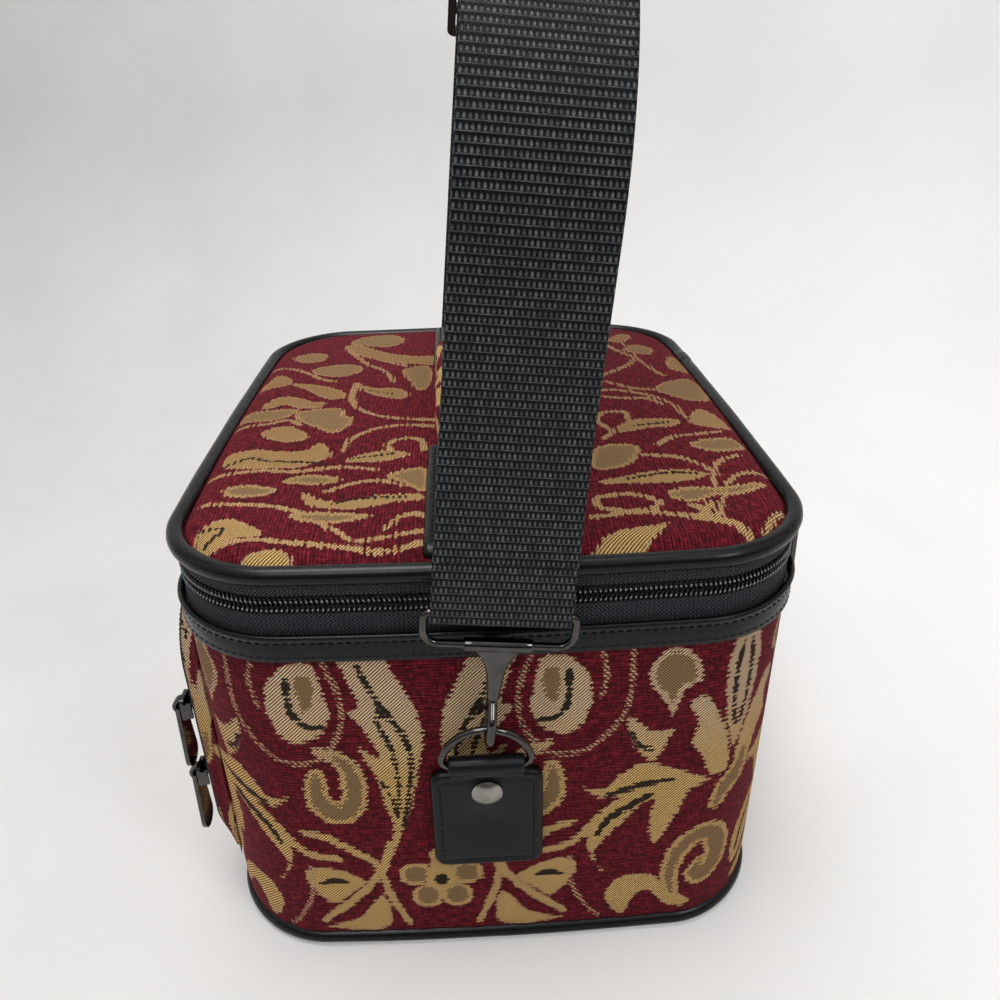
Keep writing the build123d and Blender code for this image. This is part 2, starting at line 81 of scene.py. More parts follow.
def bow(x, y):
    """The soft sides bow a little between the corners, so the corners sit further in."""
    u, v = x / 98, y / 116
    return x - 2.0 * u * v ** 2, y - 3.4 * v * u ** 2


def plan(s, outset):
    """Points of the wall's outline moved out by outset, at run s from the near end's middle towards +X."""
    s = np.mod(s, PERIMETER)
    turn = np.interp(s, RUNS, TURNS)
    reach = CORNER + np.asarray(outset)
    x = np.interp(s, RUNS, CORE_X) + reach * np.sin(turn)
    y = np.interp(s, RUNS, CORE_Y) - reach * np.cos(turn)
    return bow(x, y)


def outward(s):
    turn = np.interp(np.mod(s, PERIMETER), RUNS, TURNS)
    return xyz(np.sin(turn), -np.cos(turn), np.zeros_like(turn))


def make(name, points, faces, material, body, uv=None, smooth=True):
    """A mesh piece from points in millimetres, riding on a body."""
    mesh = bpy.data.meshes.new(name)
    mesh.from_pydata((np.asarray(points, float) * MM).tolist(), [], faces)
    if uv is not None:
        layer = mesh.uv_layers.new(name="weave")
        layer.data.foreach_set("uv", (np.asarray(uv, float) * MM).ravel())
    if smooth:
        mesh.shade_smooth()
    mesh.materials.append(material)
    piece = bpy.data.objects.new(name, mesh)
    bpy.context.scene.collection.objects.link(piece)
    if body:
        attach(piece, body)
    return piece


def grid(points, wrap_rows, wrap_columns, weave=None):
    """Points, faces and weave coordinates of a grid of points, rows by columns."""
    rows, columns = points.shape[:2]
    r = np.arange(rows if wrap_rows else rows - 1)
    c = np.arange(columns if wrap_columns else columns - 1)
    r, c = np.meshgrid(r, c, indexing="ij")
    r, c = r.ravel(), c.ravel()
    corners = [(r, c), (r + 1, c), (r + 1, c + 1), (r, c + 1)]
    faces = np.stack([(a % rows) * columns + b % columns for a, b in corners], 1)
    uv = None
    if weave is not None:
        uv = np.stack([weave[a, b] for a, b in corners], 1).reshape(-1, 2)
    return points.reshape(-1, 3), faces.tolist(), uv


def cap(points, faces, count, uv=None, turned=False):
    """Closes both ends of a grid with count points in each row; gives back the longer weave coordinates."""
    last = len(points) - count
    first, end = list(range(count)), list(range(last, last + count))
    faces += [first, end[::-1]] if turned else [first[::-1], end]
    return None if uv is None else np.vstack([uv, np.zeros((2 * count, 2))])


def plan_sweep(profile, s):
    """A closed profile of (outset, height) carried round the wall's outline; columns follow s, closed."""
    profile = np.asarray(profile, float)
    x, y = plan(s[:, None], profile[None, :, 0])
    z = np.broadcast_to(profile[None, :, 1], x.shape)
    steps = np.hypot(*np.diff(np.vstack([profile, profile[:1]]), axis=0).T)
    girth = np.concatenate([[0], np.cumsum(steps)])
    run = np.append(s, s[0] + PERIMETER)
    weave = pairs(run, girth)
    return xyz(x, y, z), weave


def even_runs(count):
    return np.arange(count) * PERIMETER / count


def inset(x, y, half_x, half_y, corner):
    """How far points lie in from the edge of a rounded rectangle."""
    qx, qy = np.abs(x) - half_x + corner, np.abs(y) - half_y + corner
    return corner - np.hypot(np.maximum(qx, 0), np.maximum(qy, 0)) - np.minimum(np.maximum(qx, qy), 0)


def sheet(half_x, half_y, corner, step):
    """A grid over a rounded rectangle, its outer points drawn onto the outline."""
    x, y = (np.linspace(-half, half, int(2 * half / step) + 1) for half in (half_x, half_y))
    x, y = np.meshgrid(x, y, indexing="ij")
    cx, cy = np.clip(x, corner - half_x, half_x - corner), np.clip(y, corner - half_y, half_y - corner)
    reach = np.hypot(x - cx, y - cy)
    scale = np.minimum(1, corner / np.maximum(reach, 1e-9))
    flat = xyz(cx + (x - cx) * scale, cy + (y - cy) * scale, np.zeros_like(x))
    points, faces, _ = grid(flat, False, False)
    outside = (reach > corner + 1e-6).ravel()
    faces = np.array([face for face in faces if not outside[face].all()])
    used = np.unique(faces)
    return points[used, 0], points[used, 1], np.searchsorted(used, faces)


def closed(points, faces, lower, weave):
    """A sheet and its underside, joined round the edge; weave has a pair of coordinates for each point."""
    count = len(points)
    edges = np.concatenate([faces[:, [k, (k + 1) % 4]] for k in range(4)])
    rim = edges[~np.isin(edges[:, 0] * count + edges[:, 1], edges[:, 1] * count + edges[:, 0])]
    sides = np.stack([rim[:, 1], rim[:, 0], rim[:, 0] + count, rim[:, 1] + count], 1)
    every = np.concatenate([faces, faces[:, ::-1] + count, sides])
    weave = np.vstack([weave, weave])
    return np.vstack([points, lower]), every.tolist(), weave[every].reshape(-1, 2)


def copies(template, faces, origins, axes):
    """Many copies of one small shape, each with its own origin and axes, as one mesh."""
    template = np.asarray(template, float)
    points = np.einsum("vk,nkd->nvd", template, axes) + origins[:, None, :]
    count = len(template)
    every = [[i + n * count for i in face] for n in range(len(origins)) for face in faces]
    return points.reshape(-1, 3), every


def bead(length, width, depth, segments=8, rings=5):
    """A rounded bead: long in x, wide in y, deep in z."""
    points, faces = [(-length / 2, 0, 0)], []
    for ring in range(1, rings):
        a = math.pi * ring / rings
        size = math.sin(a) ** 0.6
        for k in range(segments):
            b = 2 * math.pi * k / segments
            across, deep = width / 2 * size * math.cos(b), depth / 2 * size * math.sin(b)
            points.append((-length / 2 * math.cos(a), across, deep))
    points.append((length / 2, 0, 0))
    last = len(points) - 1
    for k in range(segments):
        n = (k + 1) % segments
        faces.append([0, 1 + n, 1 + k])
        for ring in range(rings - 2):
            a, b = 1 + ring * segments, 1 + (ring + 1) * segments
            faces.append([a + k, a + n, b + n, b + k])
        end = 1 + (rings - 2) * segments
        faces.append([last, end + k, end + n])
    return points, faces


def resample(line, pitch):
    """Evenly spaced places on a line of points, and the direction there."""
    line = np.asarray(line, float)
    run = np.concatenate([[0], np.cumsum(np.linalg.norm(np.diff(line, axis=0), axis=1))])
    at = np.arange(pitch / 2, run[-1], pitch)

    def place(r):
        return np.stack([np.interp(r, run, line[:, k]) for k in range(line.shape[1])], -1)

    ahead = place(at + 0.2) - place(at - 0.2)
    return place(at), ahead / np.linalg.norm(ahead, axis=1, keepdims=True)


def stitches(name, lines, out, pitch, body, thick=0.7):
    """Rows of thread along lines of points on a face that looks along out."""
    sets = [resample(line, pitch) for line in lines]
    place, ahead = (np.concatenate([s[k] for s in sets]) for k in range(2))
    out = np.broadcast_to(np.asarray(out, float), place.shape)
    template, faces = bead(pitch * 0.78, thick, thick * 0.8, 6, 4)
    points, every = copies(template, faces, place, np.stack([ahead, np.cross(out, ahead), out], 1))
    make(name, points, every, THREAD, body)


# Drawing of the cloth: listed outlines, (across, up) in millimetres, with half widths for lines
FAR = 6.0
CURVE_STEPS = 5


def spline(points, closed):
    """A smooth line through a few points."""
    p = np.asarray(points, float)
    if closed:
        a, b, c, d = np.roll(p, 1, 0), p, np.roll(p, -1, 0), np.roll(p, -2, 0)
    else:
        e = np.vstack([2 * p[0] - p[1], p, 2 * p[-1] - p[-2]])
        a, b, c, d = e[:-3], e[1:-2], e[2:-1], e[3:]
    t = np.linspace(0, 1, CURVE_STEPS, endpoint=False)[None, :, None]
    a, b, c, d = (q[:, None, :] for q in (a, b, c, d))
    square, cube = 2 * a - 5 * b + 4 * c - d, 3 * b - 3 * c + d - a
    out = 0.5 * (2 * b + (c - a) * t + square * t ** 2 + cube * t ** 3)
    out = out.reshape(-1, p.shape[1])
    return out if closed else np.vstack([out, p[-1:]])


def stamp(field, q, shape):
    """Lowers a distance field where one shape of the drawing lies. A shape with widths is a line."""
    line = len(shape[0]) == 3
    curve = spline(shape, not line)
    reach = FAR + (curve[:, 2].max() if line else 0)
    low, high = curve[:, :2].min(0) - reach, curve[:, :2].max(0) + reach
    near = np.flatnonzero(np.all((q > low) & (q < high), axis=1))
    if not len(near):
        return
    p = q[near][:, None, :]
    a = curve if not line else curve[:-1]
    b = np.roll(curve, -1, 0) if not line else curve[1:]
    along = b[:, :2] - a[:, :2]
    t = ((p - a[None, :, :2]) * along).sum(2) / np.maximum((along ** 2).sum(1), 1e-9)
    t = np.clip(t, 0, 1)
    gap = np.hypot(*np.moveaxis(p - a[None, :, :2] - t[:, :, None] * along, 2, 0))
    if line:
        distance = (gap - (a[None, :, 2] + t * (b - a)[None, :, 2])).min(1)
    else:
        distance = gap.min(1)
        rises = (a[None, :, 1] > p[:, :, 1]) != (b[None, :, 1] > p[:, :, 1])
        level = along[None, :, 1] + (along[None, :, 1] == 0)
        cross = a[None, :, 0] + (p[:, :, 1] - a[None, :, 1]) * along[None, :, 0] / level
        inside = (rises & (p[:, :, 0] < cross)).sum(1) % 2 == 1
        distance = np.where(inside, -distance, distance)
    field[near] = np.minimum(field[near], distance)


def draw(q, pattern):
    """The drawing's distance fields at points q: one for each kind of yarn."""
    fields = {}
    for yarn, shapes in pattern.items():
        field = np.full(len(q), FAR)
        for shape in shapes:
            stamp(field, q, shape)
        fields[yarn] = field
    return fields


def pen(width, *points):
    """A line of the drawing with one half width from end to end."""
    return [(x, y, width) for x, y in points]


WALL_PATTERN = {
    "gold": [
        [(15, 129), (9, 117), (4.5, 107), (3, 95), (5, 81), (8, 67), (11.5, 57), (14, 49), (18, 41),
         (19.5, 40), (16, 50), (14.5, 60), (17, 70), (18.5, 80), (23, 91.5), (17, 88), (19, 96),
         (24.5, 106), (21.5, 108), (23, 116), (26, 128)],
        [(34, 124), (43, 123), (49, 113), (48, 101), (43, 95), (35, 97), (30.5, 105), (32, 115)],
        [(26, 32), (33, 37), (41, 39), (46, 36.5), (45, 30), (38, 21.5), (32, 26)],
        [(20.5, 25), (20, 8), (42, 8.5), (33, 12), (27, 17)],
        [(45, 56, 1), (38, 54, 1.6), (30, 48, 1.4), (22, 41, 1.2), (20, 36, 1.2), (18, 25, 1.2),
         (12.5, 10, 1.2)],
        pen(1.5, (42, 13), (31, 23), (23.5, 32), (19, 40), (16, 50)),
        [(0, 40, 3.5), (0, 44, 3.5)],
        [(0, 33, 6), (0, 31.5, 6)],
        [(61, 100.5), (66, 95), (71.5, 92), (75.5, 93.5), (73.5, 87), (70, 80), (66, 84), (62, 91)],
        [(47, 72), (54, 70), (60, 76), (67, 80), (75, 77.5), (82, 74.5), (90, 70), (83, 66.5), (80, 58),
         (73, 43), (70.5, 54), (72, 64), (66, 61), (61, 54), (56, 48), (52, 40), (56, 30.5), (50.5, 41),
         (50, 50), (54, 60), (60, 66), (53, 66.5)],
        [(80, 103), (86, 104.5), (90.5, 96), (95, 86), (96.5, 72), (90, 71.5), (86.5, 80), (82, 88),
         (84, 95)],
        [(97.9, 129), (93, 124), (91.5, 112), (93, 98), (95.5, 86), (97.9, 80), (100, 84), (103, 98),
         (104, 112), (102, 124)],
        [(57, 18), (60, 26), (67, 28.5), (74, 26.5), (80, 20), (88, 12), (84, 9.5), (77, 13.5), (72, 20.5),
         (67, 16.5), (64, 8.5), (60, 11)],
        [(34, 43, 1.2), (45, 47, 1.4), (53, 57, 1.4)],
    ],
    "taupe": [
        [(34, 121), (40, 121), (41, 112), (39, 105), (34, 108), (32.5, 115)],
        [(37.5, 81, 3), (37.5, 70, 4.5), (31.5, 64, 4.5), (26.5, 70, 4.5), (26, 80, 4), (29.5, 87.5, 3),
         (36, 90.5, 1.5)],
        [(8.4, 35, 5.3), (9, 34.6, 5.3)],
        [(5, 24.5, 5.4), (5.2, 23.5, 5.2)],
        [(67, 112), (68, 120), (73, 124.5), (80, 121.5), (83, 112), (78, 108.5), (75, 99), (72, 105)],
    ],
    "dark": [
        [(20.5, 123, 0.8), (17, 113, 0.8), (13, 105, 0.8), (9, 97, 0.8), (7, 87, 0.8), (8.5, 72, 0.8),
         (11, 58, 0.6)],
        [(17, 103, 0.8), (13, 92, 0.7), (11.5, 78, 0.7), (13, 62, 0.7)],
        pen(0.7, (16, 108), (14.5, 104), (11.5, 102)),
        [(17, 78, 0.7), (14, 70, 0.7), (13, 64, 0.6)],
        [(42, 118, 1), (42, 107, 0.9), (38, 101, 1), (33, 100.5, 0.9)],
        [(33, 32, 0.9), (37, 33, 1.4), (41, 31.5, 0.9)],
        [(0, 32.6, 2.2), (0, 31.4, 2.2)],
        [(62, 93, 0.8), (65, 87.5, 1), (69, 85.5, 0.8)],
        [(56, 67, 1), (66, 70.5, 1.4), (77, 72, 1.1)],
        [(53, 50, 0.9), (58, 57.5, 1.3), (70, 66, 1.1)],
        [(96, 122, 0.8), (95, 112, 0.8), (95.5, 100, 0.7), (97, 90, 0.6)],
    ],
    "dots": [
        pen(0.8, (31, 126), (27, 113), (27.5, 101), (33, 90), (41, 86), (49, 88), (56, 95), (61, 106),
                 (61, 127)),
        pen(0.8, (52, 124), (53.5, 117), (52, 108)),
        pen(0.8, (44, 40), (45, 26), (50, 15), (55, 8)),
    ],
}

LID_PATTERN = {
    "gold": [
        [(-88, -38), (-80, -34), (-72, -36), (-62, -37), (-57, -31), (-52, -41), (-55, -45), (-62, -50),
         (-75, -49), (-86, -48)],
        [(-80, -19), (-74, -14), (-68, -16), (-62, -25), (-68, -29), (-76, -25)],
        [(-85, 8), (-80, 18), (-72, 16), (-65, 10), (-60, 9), (-62, 4), (-70, 4), (-76, 9), (-82, 5)],
        [(-78, 34), (-68, 31), (-58, 24), (-53, 15), (-58, 12), (-64, 17), (-70, 25)],
        [(-50, 28), (-42, 23), (-34, 22), (-28, 15), (-30, 9), (-38, 12), (-44, 17)],
        [(-58, 85, 4), (-48, 72, 5), (-36, 62, 5.5), (-20, 57, 6)],
        [(-90, 30), (-86, 46), (-80, 42), (-78, 34), (-84, 30)],
        [(-58, -68), (-55, -76), (-48, -79), (-40, -80), (-30, -77), (-20, -75), (-22, -72), (-35, -72),
         (-45, -75), (-52, -73)],
        [(-86, -90), (-80, -83), (-72, -86), (-66, -93), (-74, -94), (-78, -98), (-84, -99)],
        [(-72, -109), (-68, -102), (-60, -101), (-56, -106), (-62, -112)],
        [(-47, -47), (-40, -41), (-30, -40), (-25, -44), (-35, -48)],
        [(35, -69), (45, -65), (55, -62), (66, -62), (72, -66), (60, -70), (48, -70)],
        [(47, -30), (52, -22), (58, -19), (72, -20), (70, -26), (60, -27), (52, -30)],
        [(76, -22), (82, -10), (88, -18), (90, -28), (82, -28)],
        [(82, 40), (86, 56), (91, 58), (90, 36)],
        [(25, -111), (35, -99), (48, -96), (52, -95), (42, -107), (30, -113)],
        [(60, -92, 1.2), (70, -95, 2), (75, -102, 1.5)],
        [(68, -84, 1.2), (64, -91, 1.6)],
        [(64, 84), (72, 96), (76, 90), (70, 80)],
        [(5, 60), (15, 72), (28, 70), (20, 60)],
        [(-8, -30), (5, -20), (16, -28), (4, -36)],
    ],
    "taupe": [
        [(-70, -1), (-62, 2), (-53, 1), (-51, -6), (-47, -11), (-52, -22), (-57, -20), (-63, -14), (-68, -9)],
        [(-72, 52), (-62, 57), (-52, 54), (-50, 46), (-58, 40), (-68, 44)],
        [(-32, 44), (-25, 50), (-20, 45), (-20, 25), (-24, 18), (-28, 28)],
        [(-60, 92), (-54, 102), (-40, 103), (-34, 92), (-40, 82), (-52, 86)],
        [(-84, 72), (-76, 78), (-68, 73), (-70, 64), (-78, 64)],
        [(-84, -64), (-77, -61), (-66, -65), (-70, -69), (-80, -69)],
        [(-66, -60), (-58, -56), (-46, -60), (-54, -63)],
        [(-60, -82), (-50, -81), (-35, -84), (-45, -88), (-55, -86)],
        [(-56, -112), (-46, -106), (-36, -110), (-44, -114)],
        [(-32, -59), (-25, -54), (-19, -56), (-19, -70), (-26, -65)],
        [(55, -78), (62, -74), (75, -74), (85, -72), (89, -73), (80, -79), (70, -80), (62, -83)],
        [(36, -50), (40, -42), (50, -41), (53, -46), (48, -56), (40, -60), (35, -58)],
        [(70, -43), (78, -38), (88, -38), (90, -45), (80, -49)],
        [(70, 12), (78, 22), (90, 24), (90, 2), (82, -1), (76, 4)],
        [(68, 66), (74, 76), (82, 70), (78, 60)],
        [(0, 90), (12, 98), (24, 92), (12, 84)],
        [(-10, 10), (4, 22), (20, 14), (8, 2)],
    ],
    "dark": [
        [(-87, -47, 0.7), (-80, -41, 0.7), (-72, -44, 0.7), (-60, -46, 0.7), (-54, -48, 0.6)],
        [(-44, 20, 0.6), (-34, 15, 0.6)],
        [(-47, -76, 0.6), (-40, -73.5, 0.7), (-25, -73.5, 0.6)],
        pen(0.7, (-85, -89), (-78, -89), (-82, -96)),
        [(-45, -45, 0.6), (-30, -42, 0.6)],
        [(45, -67, 0.6), (58, -63.5, 0.7), (68, -64.5, 0.6)],
        [(55, -25, 0.6), (68, -22.5, 0.6)],
    ],
    "dots": [],
}
LID_PATTERN["gold"] += [pen(1.0, *stem) for stem in (
    [(-88, -73), (-70, -75), (-58, -80), (-45, -92), (-38, -98), (-25, -95), (-18, -94)],
    [(-85, -100), (-70, -95), (-60, -97), (-45, -100), (-30, -103), (-20, -100)],
    [(-50, 30), (-50, 10), (-46, 0), (-38, -8), (-28, -12), (-18, -14)],
    [(-48, -38), (-46, -28), (-38, -20), (-28, -18), (-18, -20)],
    [(-30, -45), (-33, -35), (-28, -30), (-22, -32), (-20, -40)],
    [(-60, 80), (-55, 70), (-48, 55), (-40, 45), (-35, 30)],
    [(-52, 80), (-48, 68), (-40, 58), (-30, 50)],
    [(-90, -54), (-75, -51), (-62, -53), (-48, -51), (-36, -54)],
    [(-90, -12), (-80, -11), (-72, -8), (-66, -14)],
    [(-50, -68), (-42, -63), (-34, -62), (-26, -66)],
    [(-90, 58), (-80, 54), (-72, 46), (-66, 38), (-60, 34)],
    [(-30, -92), (-27, -86), (-22, -84), (-18, -86)],
    [(47, 12), (55, 12), (66, 6), (73, -3), (75, -18)],
    [(48, 5), (55, 3), (65, 2), (70, -4)],
    [(47, 18), (52, 30), (60, 38), (68, 48), (72, 62), (70, 80)],
    [(48, 26), (55, 20), (62, 14), (70, 12)],
    [(60, 80), (66, 64), (72, 52), (74, 40), (78, 30)],
    [(30, -90), (45, -88), (55, -90), (66, -93), (72, -98), (76, -106)],
    [(34, -78), (44, -77), (52, -82), (48, -87), (36, -86), (33, -82), (34, -78)],
    [(62, -85), (68, -92), (72, -82), (78, -75)],
    [(80, -100), (85, -92), (90, -88)],
    [(85, -52), (77, -57), (73, -66), (72, -73)],
    [(92, -64), (82, -66), (76, -72)],
    [(54, -50), (64, -52), (71, -58), (74, -66)],
    [(42, -36), (46, -30), (42, -20), (46, -12), (54, -12), (54, -18)],
    [(60, -42), (66, -36), (74, -34), (84, -32)],
)]
LID_PATTERN["taupe"].append([(-90, 2), (-80, 3.5), (-70, 3), (-73, -5), (-81, -8), (-90, -6)])
LID_RAISE = 3.6
# Shapes that only one half of each repeat has
SINGLE_PATTERN = {
    "gold": [[(108, 18), (105, 30), (109, 42), (117, 50), (121, 41), (117, 28)]],
    "taupe": [
        [(81, 17, 2.4), (79.4, 27, 3.2), (82, 38.5, 3.8), (88, 44.6, 4.2), (94, 43.5, 4.8), (97, 36, 5.2),
         (96, 28.5, 5.2), (91.5, 24, 4.6), (88.6, 26.5, 3.6), (90.5, 31, 2.6)],
        [(91, 57), (93, 66), (98, 72), (103, 81), (107, 74), (104, 64), (99, 60), (95, 55)],
    ],
    "dark": [[(109, 24, 0.7), (111, 34, 1.0), (116, 44, 0.7)]],
    "dots": [],
}
MIRROR_X = -20.0
HALF_REPEAT = PERIMETER / 8


def wall_fields(s, z):
    """The wall's cloth repeats four times round the case, each repeat mirrored on itself."""
    u = np.mod(s - MIRROR_X, 2 * HALF_REPEAT)
    single = draw(xyz(u, z), SINGLE_PATTERN)
    u = np.where(u > HALF_REPEAT, 2 * HALF_REPEAT - u, u)
    both = draw(xyz(u, z), WALL_PATTERN)
    return {yarn: np.minimum(field, single[yarn]) for yarn, field in both.items()}


def weave_in(piece, fields):
    for yarn, field in fields.items():
        piece.data.attributes.new(yarn, "FLOAT", "POINT").data.foreach_set("value", field.astype(np.float32))


# Materials
def srgb(r, g, b):
    return tuple(c / 3294.6 if c <= 10 else ((c / 255 + 0.055) / 1.055) ** 2.4 for c in (r, g, b)) + (1.0,)


class Nodes:
    """A node tree with short ways to add nodes; a plain number or colour goes straight to its socket."""

    def __init__(self, tree):
        self.tree = tree

    def put(self, socket, value):
        if isinstance(value, bpy.types.NodeSocket):
            self.tree.links.new(value, socket)
        elif value is not None:
            socket.default_value = value

    def add(self, kind, *inputs, out=0, **settings):
        made = self.tree.nodes.new("ShaderNode" + kind)
        for key, value in settings.items():
            setattr(made, key, value)
        for socket, value in zip(made.inputs, inputs):
            self.put(socket, value)
        return made.outputs[out]

    def fill(self, kind, values, out=0, **settings):
        """A node with values for the sockets that are named or numbered."""
        made = self.add(kind, **settings).node
        for key, value in values.items():
            self.put(made.inputs[key], value)
        return made.outputs[out]

    def op(self, operation, *values):
        return self.add("Math", *values, operation=operation)

    mad = partialmethod(op, "MULTIPLY_ADD")
    mul = partialmethod(op, "MULTIPLY")
    plus = partialmethod(op, "ADD")
    sub = partialmethod(op, "SUBTRACT")
    over = partialmethod(op, "DIVIDE")
    floor = partialmethod(op, "FLOOR")
    fract = partialmethod(op, "FRACT")
    size = partialmethod(op, "ABSOLUTE")
    least = partialmethod(op, "MINIMUM")
    most = partialmethod(op, "MAXIMUM")

    def mix(self, share, a, b):
        """A colour between two others."""
        return self.fill("Mix", {0: share, 6: a, 7: b}, out=2, data_type="RGBA")

    def lerp(self, share, a, b):
        """A number between two others."""
        return self.fill("Mix", {0: share, 2: a, 3: b})

    def remap(self, value, start, end, low, high):
        return self.fill("MapRange", {0: value, 1: start, 2: end, 3: low, 4: high})

    def below(self, value, soft):
        """1 where a value is below zero, with a soft edge."""
        return self.remap(value, -soft, soft, 1.0, 0.0)

    def grey(self, share, low, high):
        return self.remap(share, 0.0, 1.0, low, high)

    def noise(self, vector, scale, detail=2.0, rough=0.5):
        return self.fill("TexNoise", {"Vector": vector, "Scale": scale, "Detail": detail, "Roughness": rough})

    def ramp(self, share, *stops):
        made = self.add("ValToRGB", share).node
        band = made.color_ramp
        while len(band.elements) < len(stops):
            band.elements.new(0.5)
        for element, (place, colour) in zip(band.elements, stops):
            element.position, element.color = place, colour
        return made.outputs[0]

    def scaled(self, vector, factors):
        return self.add("VectorMath", vector, factors, operation="MULTIPLY")

    def place(self):
        """Millimetres in the object's own frame."""
        return self.scaled(self.add("TexCoord", out="Object"), (1000, 1000, 1000))

    def weave(self):
        """The cloth's own coordinates in millimetres: vector, across, up."""
        place = self.scaled(self.add("UVMap", uv_map="weave"), (1000, 1000, 1000))
        parts = self.add("SeparateXYZ", place).node
        return place, parts.outputs[0], parts.outputs[1]

    def wave(self, value, period):
        """A sine of the value, from -1 to 1."""
        return self.op("SINE", self.mul(value, 2 * math.pi / period))


class Shader(Nodes):
    """A material; numbers in keywords go straight to the shader's sockets."""

    def __init__(self, name, **sockets):
        self.material = bpy.data.materials.new(name)
        self.material.use_nodes = True
        super().__init__(self.material.node_tree)
        self.bsdf = self.tree.nodes["Principled BSDF"]
        for key, value in sockets.items():
            self.bsdf.inputs[key.replace("_", " ").title().replace("Ior", "IOR")].default_value = value

    def colour(self, value):
        self.put(self.bsdf.inputs["Base Color"], value)

    def rough(self, value):
        self.put(self.bsdf.inputs["Roughness"], value)

    def bump(self, height, strength, distance):
        made = self.fill("Bump", {"Strength": strength, "Distance": distance, "Height": height})
        self.put(self.bsdf.inputs["Normal"], made)


# Height of one woven row, and the strap's rows and columns
PICK, WEB_ROW, WEB_COLUMN = 0.95, 2.2, 1.3


def tapestry():
    m = Shader("tapestry", roughness=0.85, sheen_weight=0.2, sheen_roughness=0.45, specular_ior_level=0.2)
    m.bsdf.inputs["Sheen Tint"].default_value = srgb(200, 80, 90)
    place, u, v = m.weave()
    gold, taupe, dark, dots = (
        m.add("Attribute", out=2, attribute_name=yarn) for yarn in ("gold", "taupe", "dark", "dots")
    )
    cell = m.add("VectorMath", place, (PICK, PICK, PICK), operation="SNAP")
    speck = m.sub(m.add("TexWhiteNoise", cell, noise_dimensions="2D"), 0.5)
    row = m.add("TexWhiteNoise", None, m.floor(m.over(v, PICK)), noise_dimensions="1D")
    row = m.mad(m.wave(v, 2 * PICK), 0.35, m.sub(row, 0.5))
    ragged = m.mad(speck, 0.7, row)
    gold = m.plus(gold, ragged)
    taupe = m.plus(taupe, ragged)
    is_gold, is_taupe = m.below(gold, 0.1), m.below(taupe, 0.1)
    is_dark = m.below(m.mad(ragged, 0.8, dark), 0.12)
    is_hem = m.below(m.sub(m.size(m.plus(m.least(gold, taupe), 0.4)), 0.45), 0.2)
    is_band = m.below(m.sub(m.size(m.plus(taupe, 0.9)), 0.95), 0.2)
    twill = m.wave(m.sub(u, v), 1.2)
    cross = m.wave(m.plus(u, v), 0.95)
    pick = m.wave(v, 1.1)
    fuzz = m.noise(place, 1.6, 3.0, 0.7)
    streaks = m.noise(m.scaled(place, (0.22, 1.25, 1.0)), 1.0, 3.0, 0.65)
    tufts = m.noise(m.scaled(place, (1.2, 0.35, 1.0)), 1.0, 2.0, 0.6)
    drift = m.noise(place, 0.03, 2.0)
    pile = m.mad(streaks, 0.6, m.mad(tufts, 0.4, m.mul(pick, 0.04)))
    wine = m.ramp(pile, (0.36, srgb(30, 1, 4)), (0.5, srgb(84, 8, 17)), (0.62, srgb(146, 34, 50)))
    wine = m.mix(m.grey(drift, 0.0, 0.2), wine, srgb(84, 10, 38))
    sheen = m.mad(twill, 0.34, m.mad(fuzz, 0.5, 0.27))
    golden = m.ramp(sheen, (0.2, srgb(36, 22, 10)), (0.4, srgb(178, 128, 58)),
                    (0.62, srgb(234, 184, 102)), (0.86, srgb(255, 230, 162)))
    rosy = m.ramp(sheen, (0.2, srgb(30, 18, 13)), (0.4, srgb(172, 128, 92)),
                  (0.62, srgb(232, 194, 148)), (0.86, srgb(255, 238, 206)))
    golden = m.mix(m.remap(m.mad(fuzz, 12.0, v), 84.0, 112.0, 0.0, 1.0), golden, rosy)
    # Painted shade: where the attribute below is set, on the lid, the gold is mixed towards a duller, darker
    # gold.
    painted_gold_shade = m.ramp(m.mad(twill, 0.2, fuzz), (0.25, srgb(70, 46, 26)), (0.7, srgb(176, 136, 88)))
    golden = m.mix(m.add("Attribute", out=2, attribute_name="painted_gold_shade"), golden, painted_gold_shade)
    stone = m.ramp(m.mad(cross, 0.28, m.mad(fuzz, 0.5, 0.27)),
                   (0.22, srgb(44, 33, 20)), (0.45, srgb(124, 98, 62)), (0.8, srgb(182, 150, 106)))
    beige = m.ramp(m.mad(pick, 0.3, fuzz), (0.25, srgb(136, 92, 62)), (0.7, srgb(224, 188, 150)))
    ink = m.ramp(fuzz, (0.3, srgb(20, 16, 11)), (0.7, srgb(52, 44, 30)))
    colour = m.mix(is_gold, wine, golden)
    colour = m.mix(is_taupe, colour, stone)
    colour = m.mix(m.mul(is_band, is_taupe), colour, golden)
    colour = m.mix(m.mul(is_hem, m.grey(speck, 0.35, 0.95)), colour, beige)
    bit = m.below(m.sub(0.0, m.plus(m.wave(m.plus(u, v), 1.9), 0.35)), 0.2)
    is_dot = m.mul(m.below(m.mad(ragged, 0.8, dots), 0.12), bit)
    colour = m.mix(is_dot, colour, beige)
    colour = m.mix(is_dark, colour, ink)
    m.colour(colour)
    woven = m.most(m.most(is_gold, is_taupe), is_dot)
    flat = m.mad(twill, 0.3, m.mul(pick, 0.2))
    relief = m.plus(m.mul(m.sub(1.0, woven), m.mul(pile, 1.6)), m.mul(woven, flat))
    m.bump(relief, 0.5, 0.35 * MM)
    return m.material


def vinyl():
    m = Shader("vinyl", specular_ior_level=0.32)
    place = m.place()
    grain = m.add("TexVoronoi", place, 0.0, 1.9, feature="SMOOTH_F1")
    creases = m.noise(place, 0.3, 4.0, 0.6)
    m.colour(m.ramp(creases, (0.3, srgb(5, 6, 8)), (0.7, srgb(11, 13, 15))))
    m.rough(m.grey(creases, 0.2, 0.36))
    m.bump(m.mad(creases, 0.7, m.mul(grain, 0.25)), 0.22, 0.25 * MM)
    return m.material


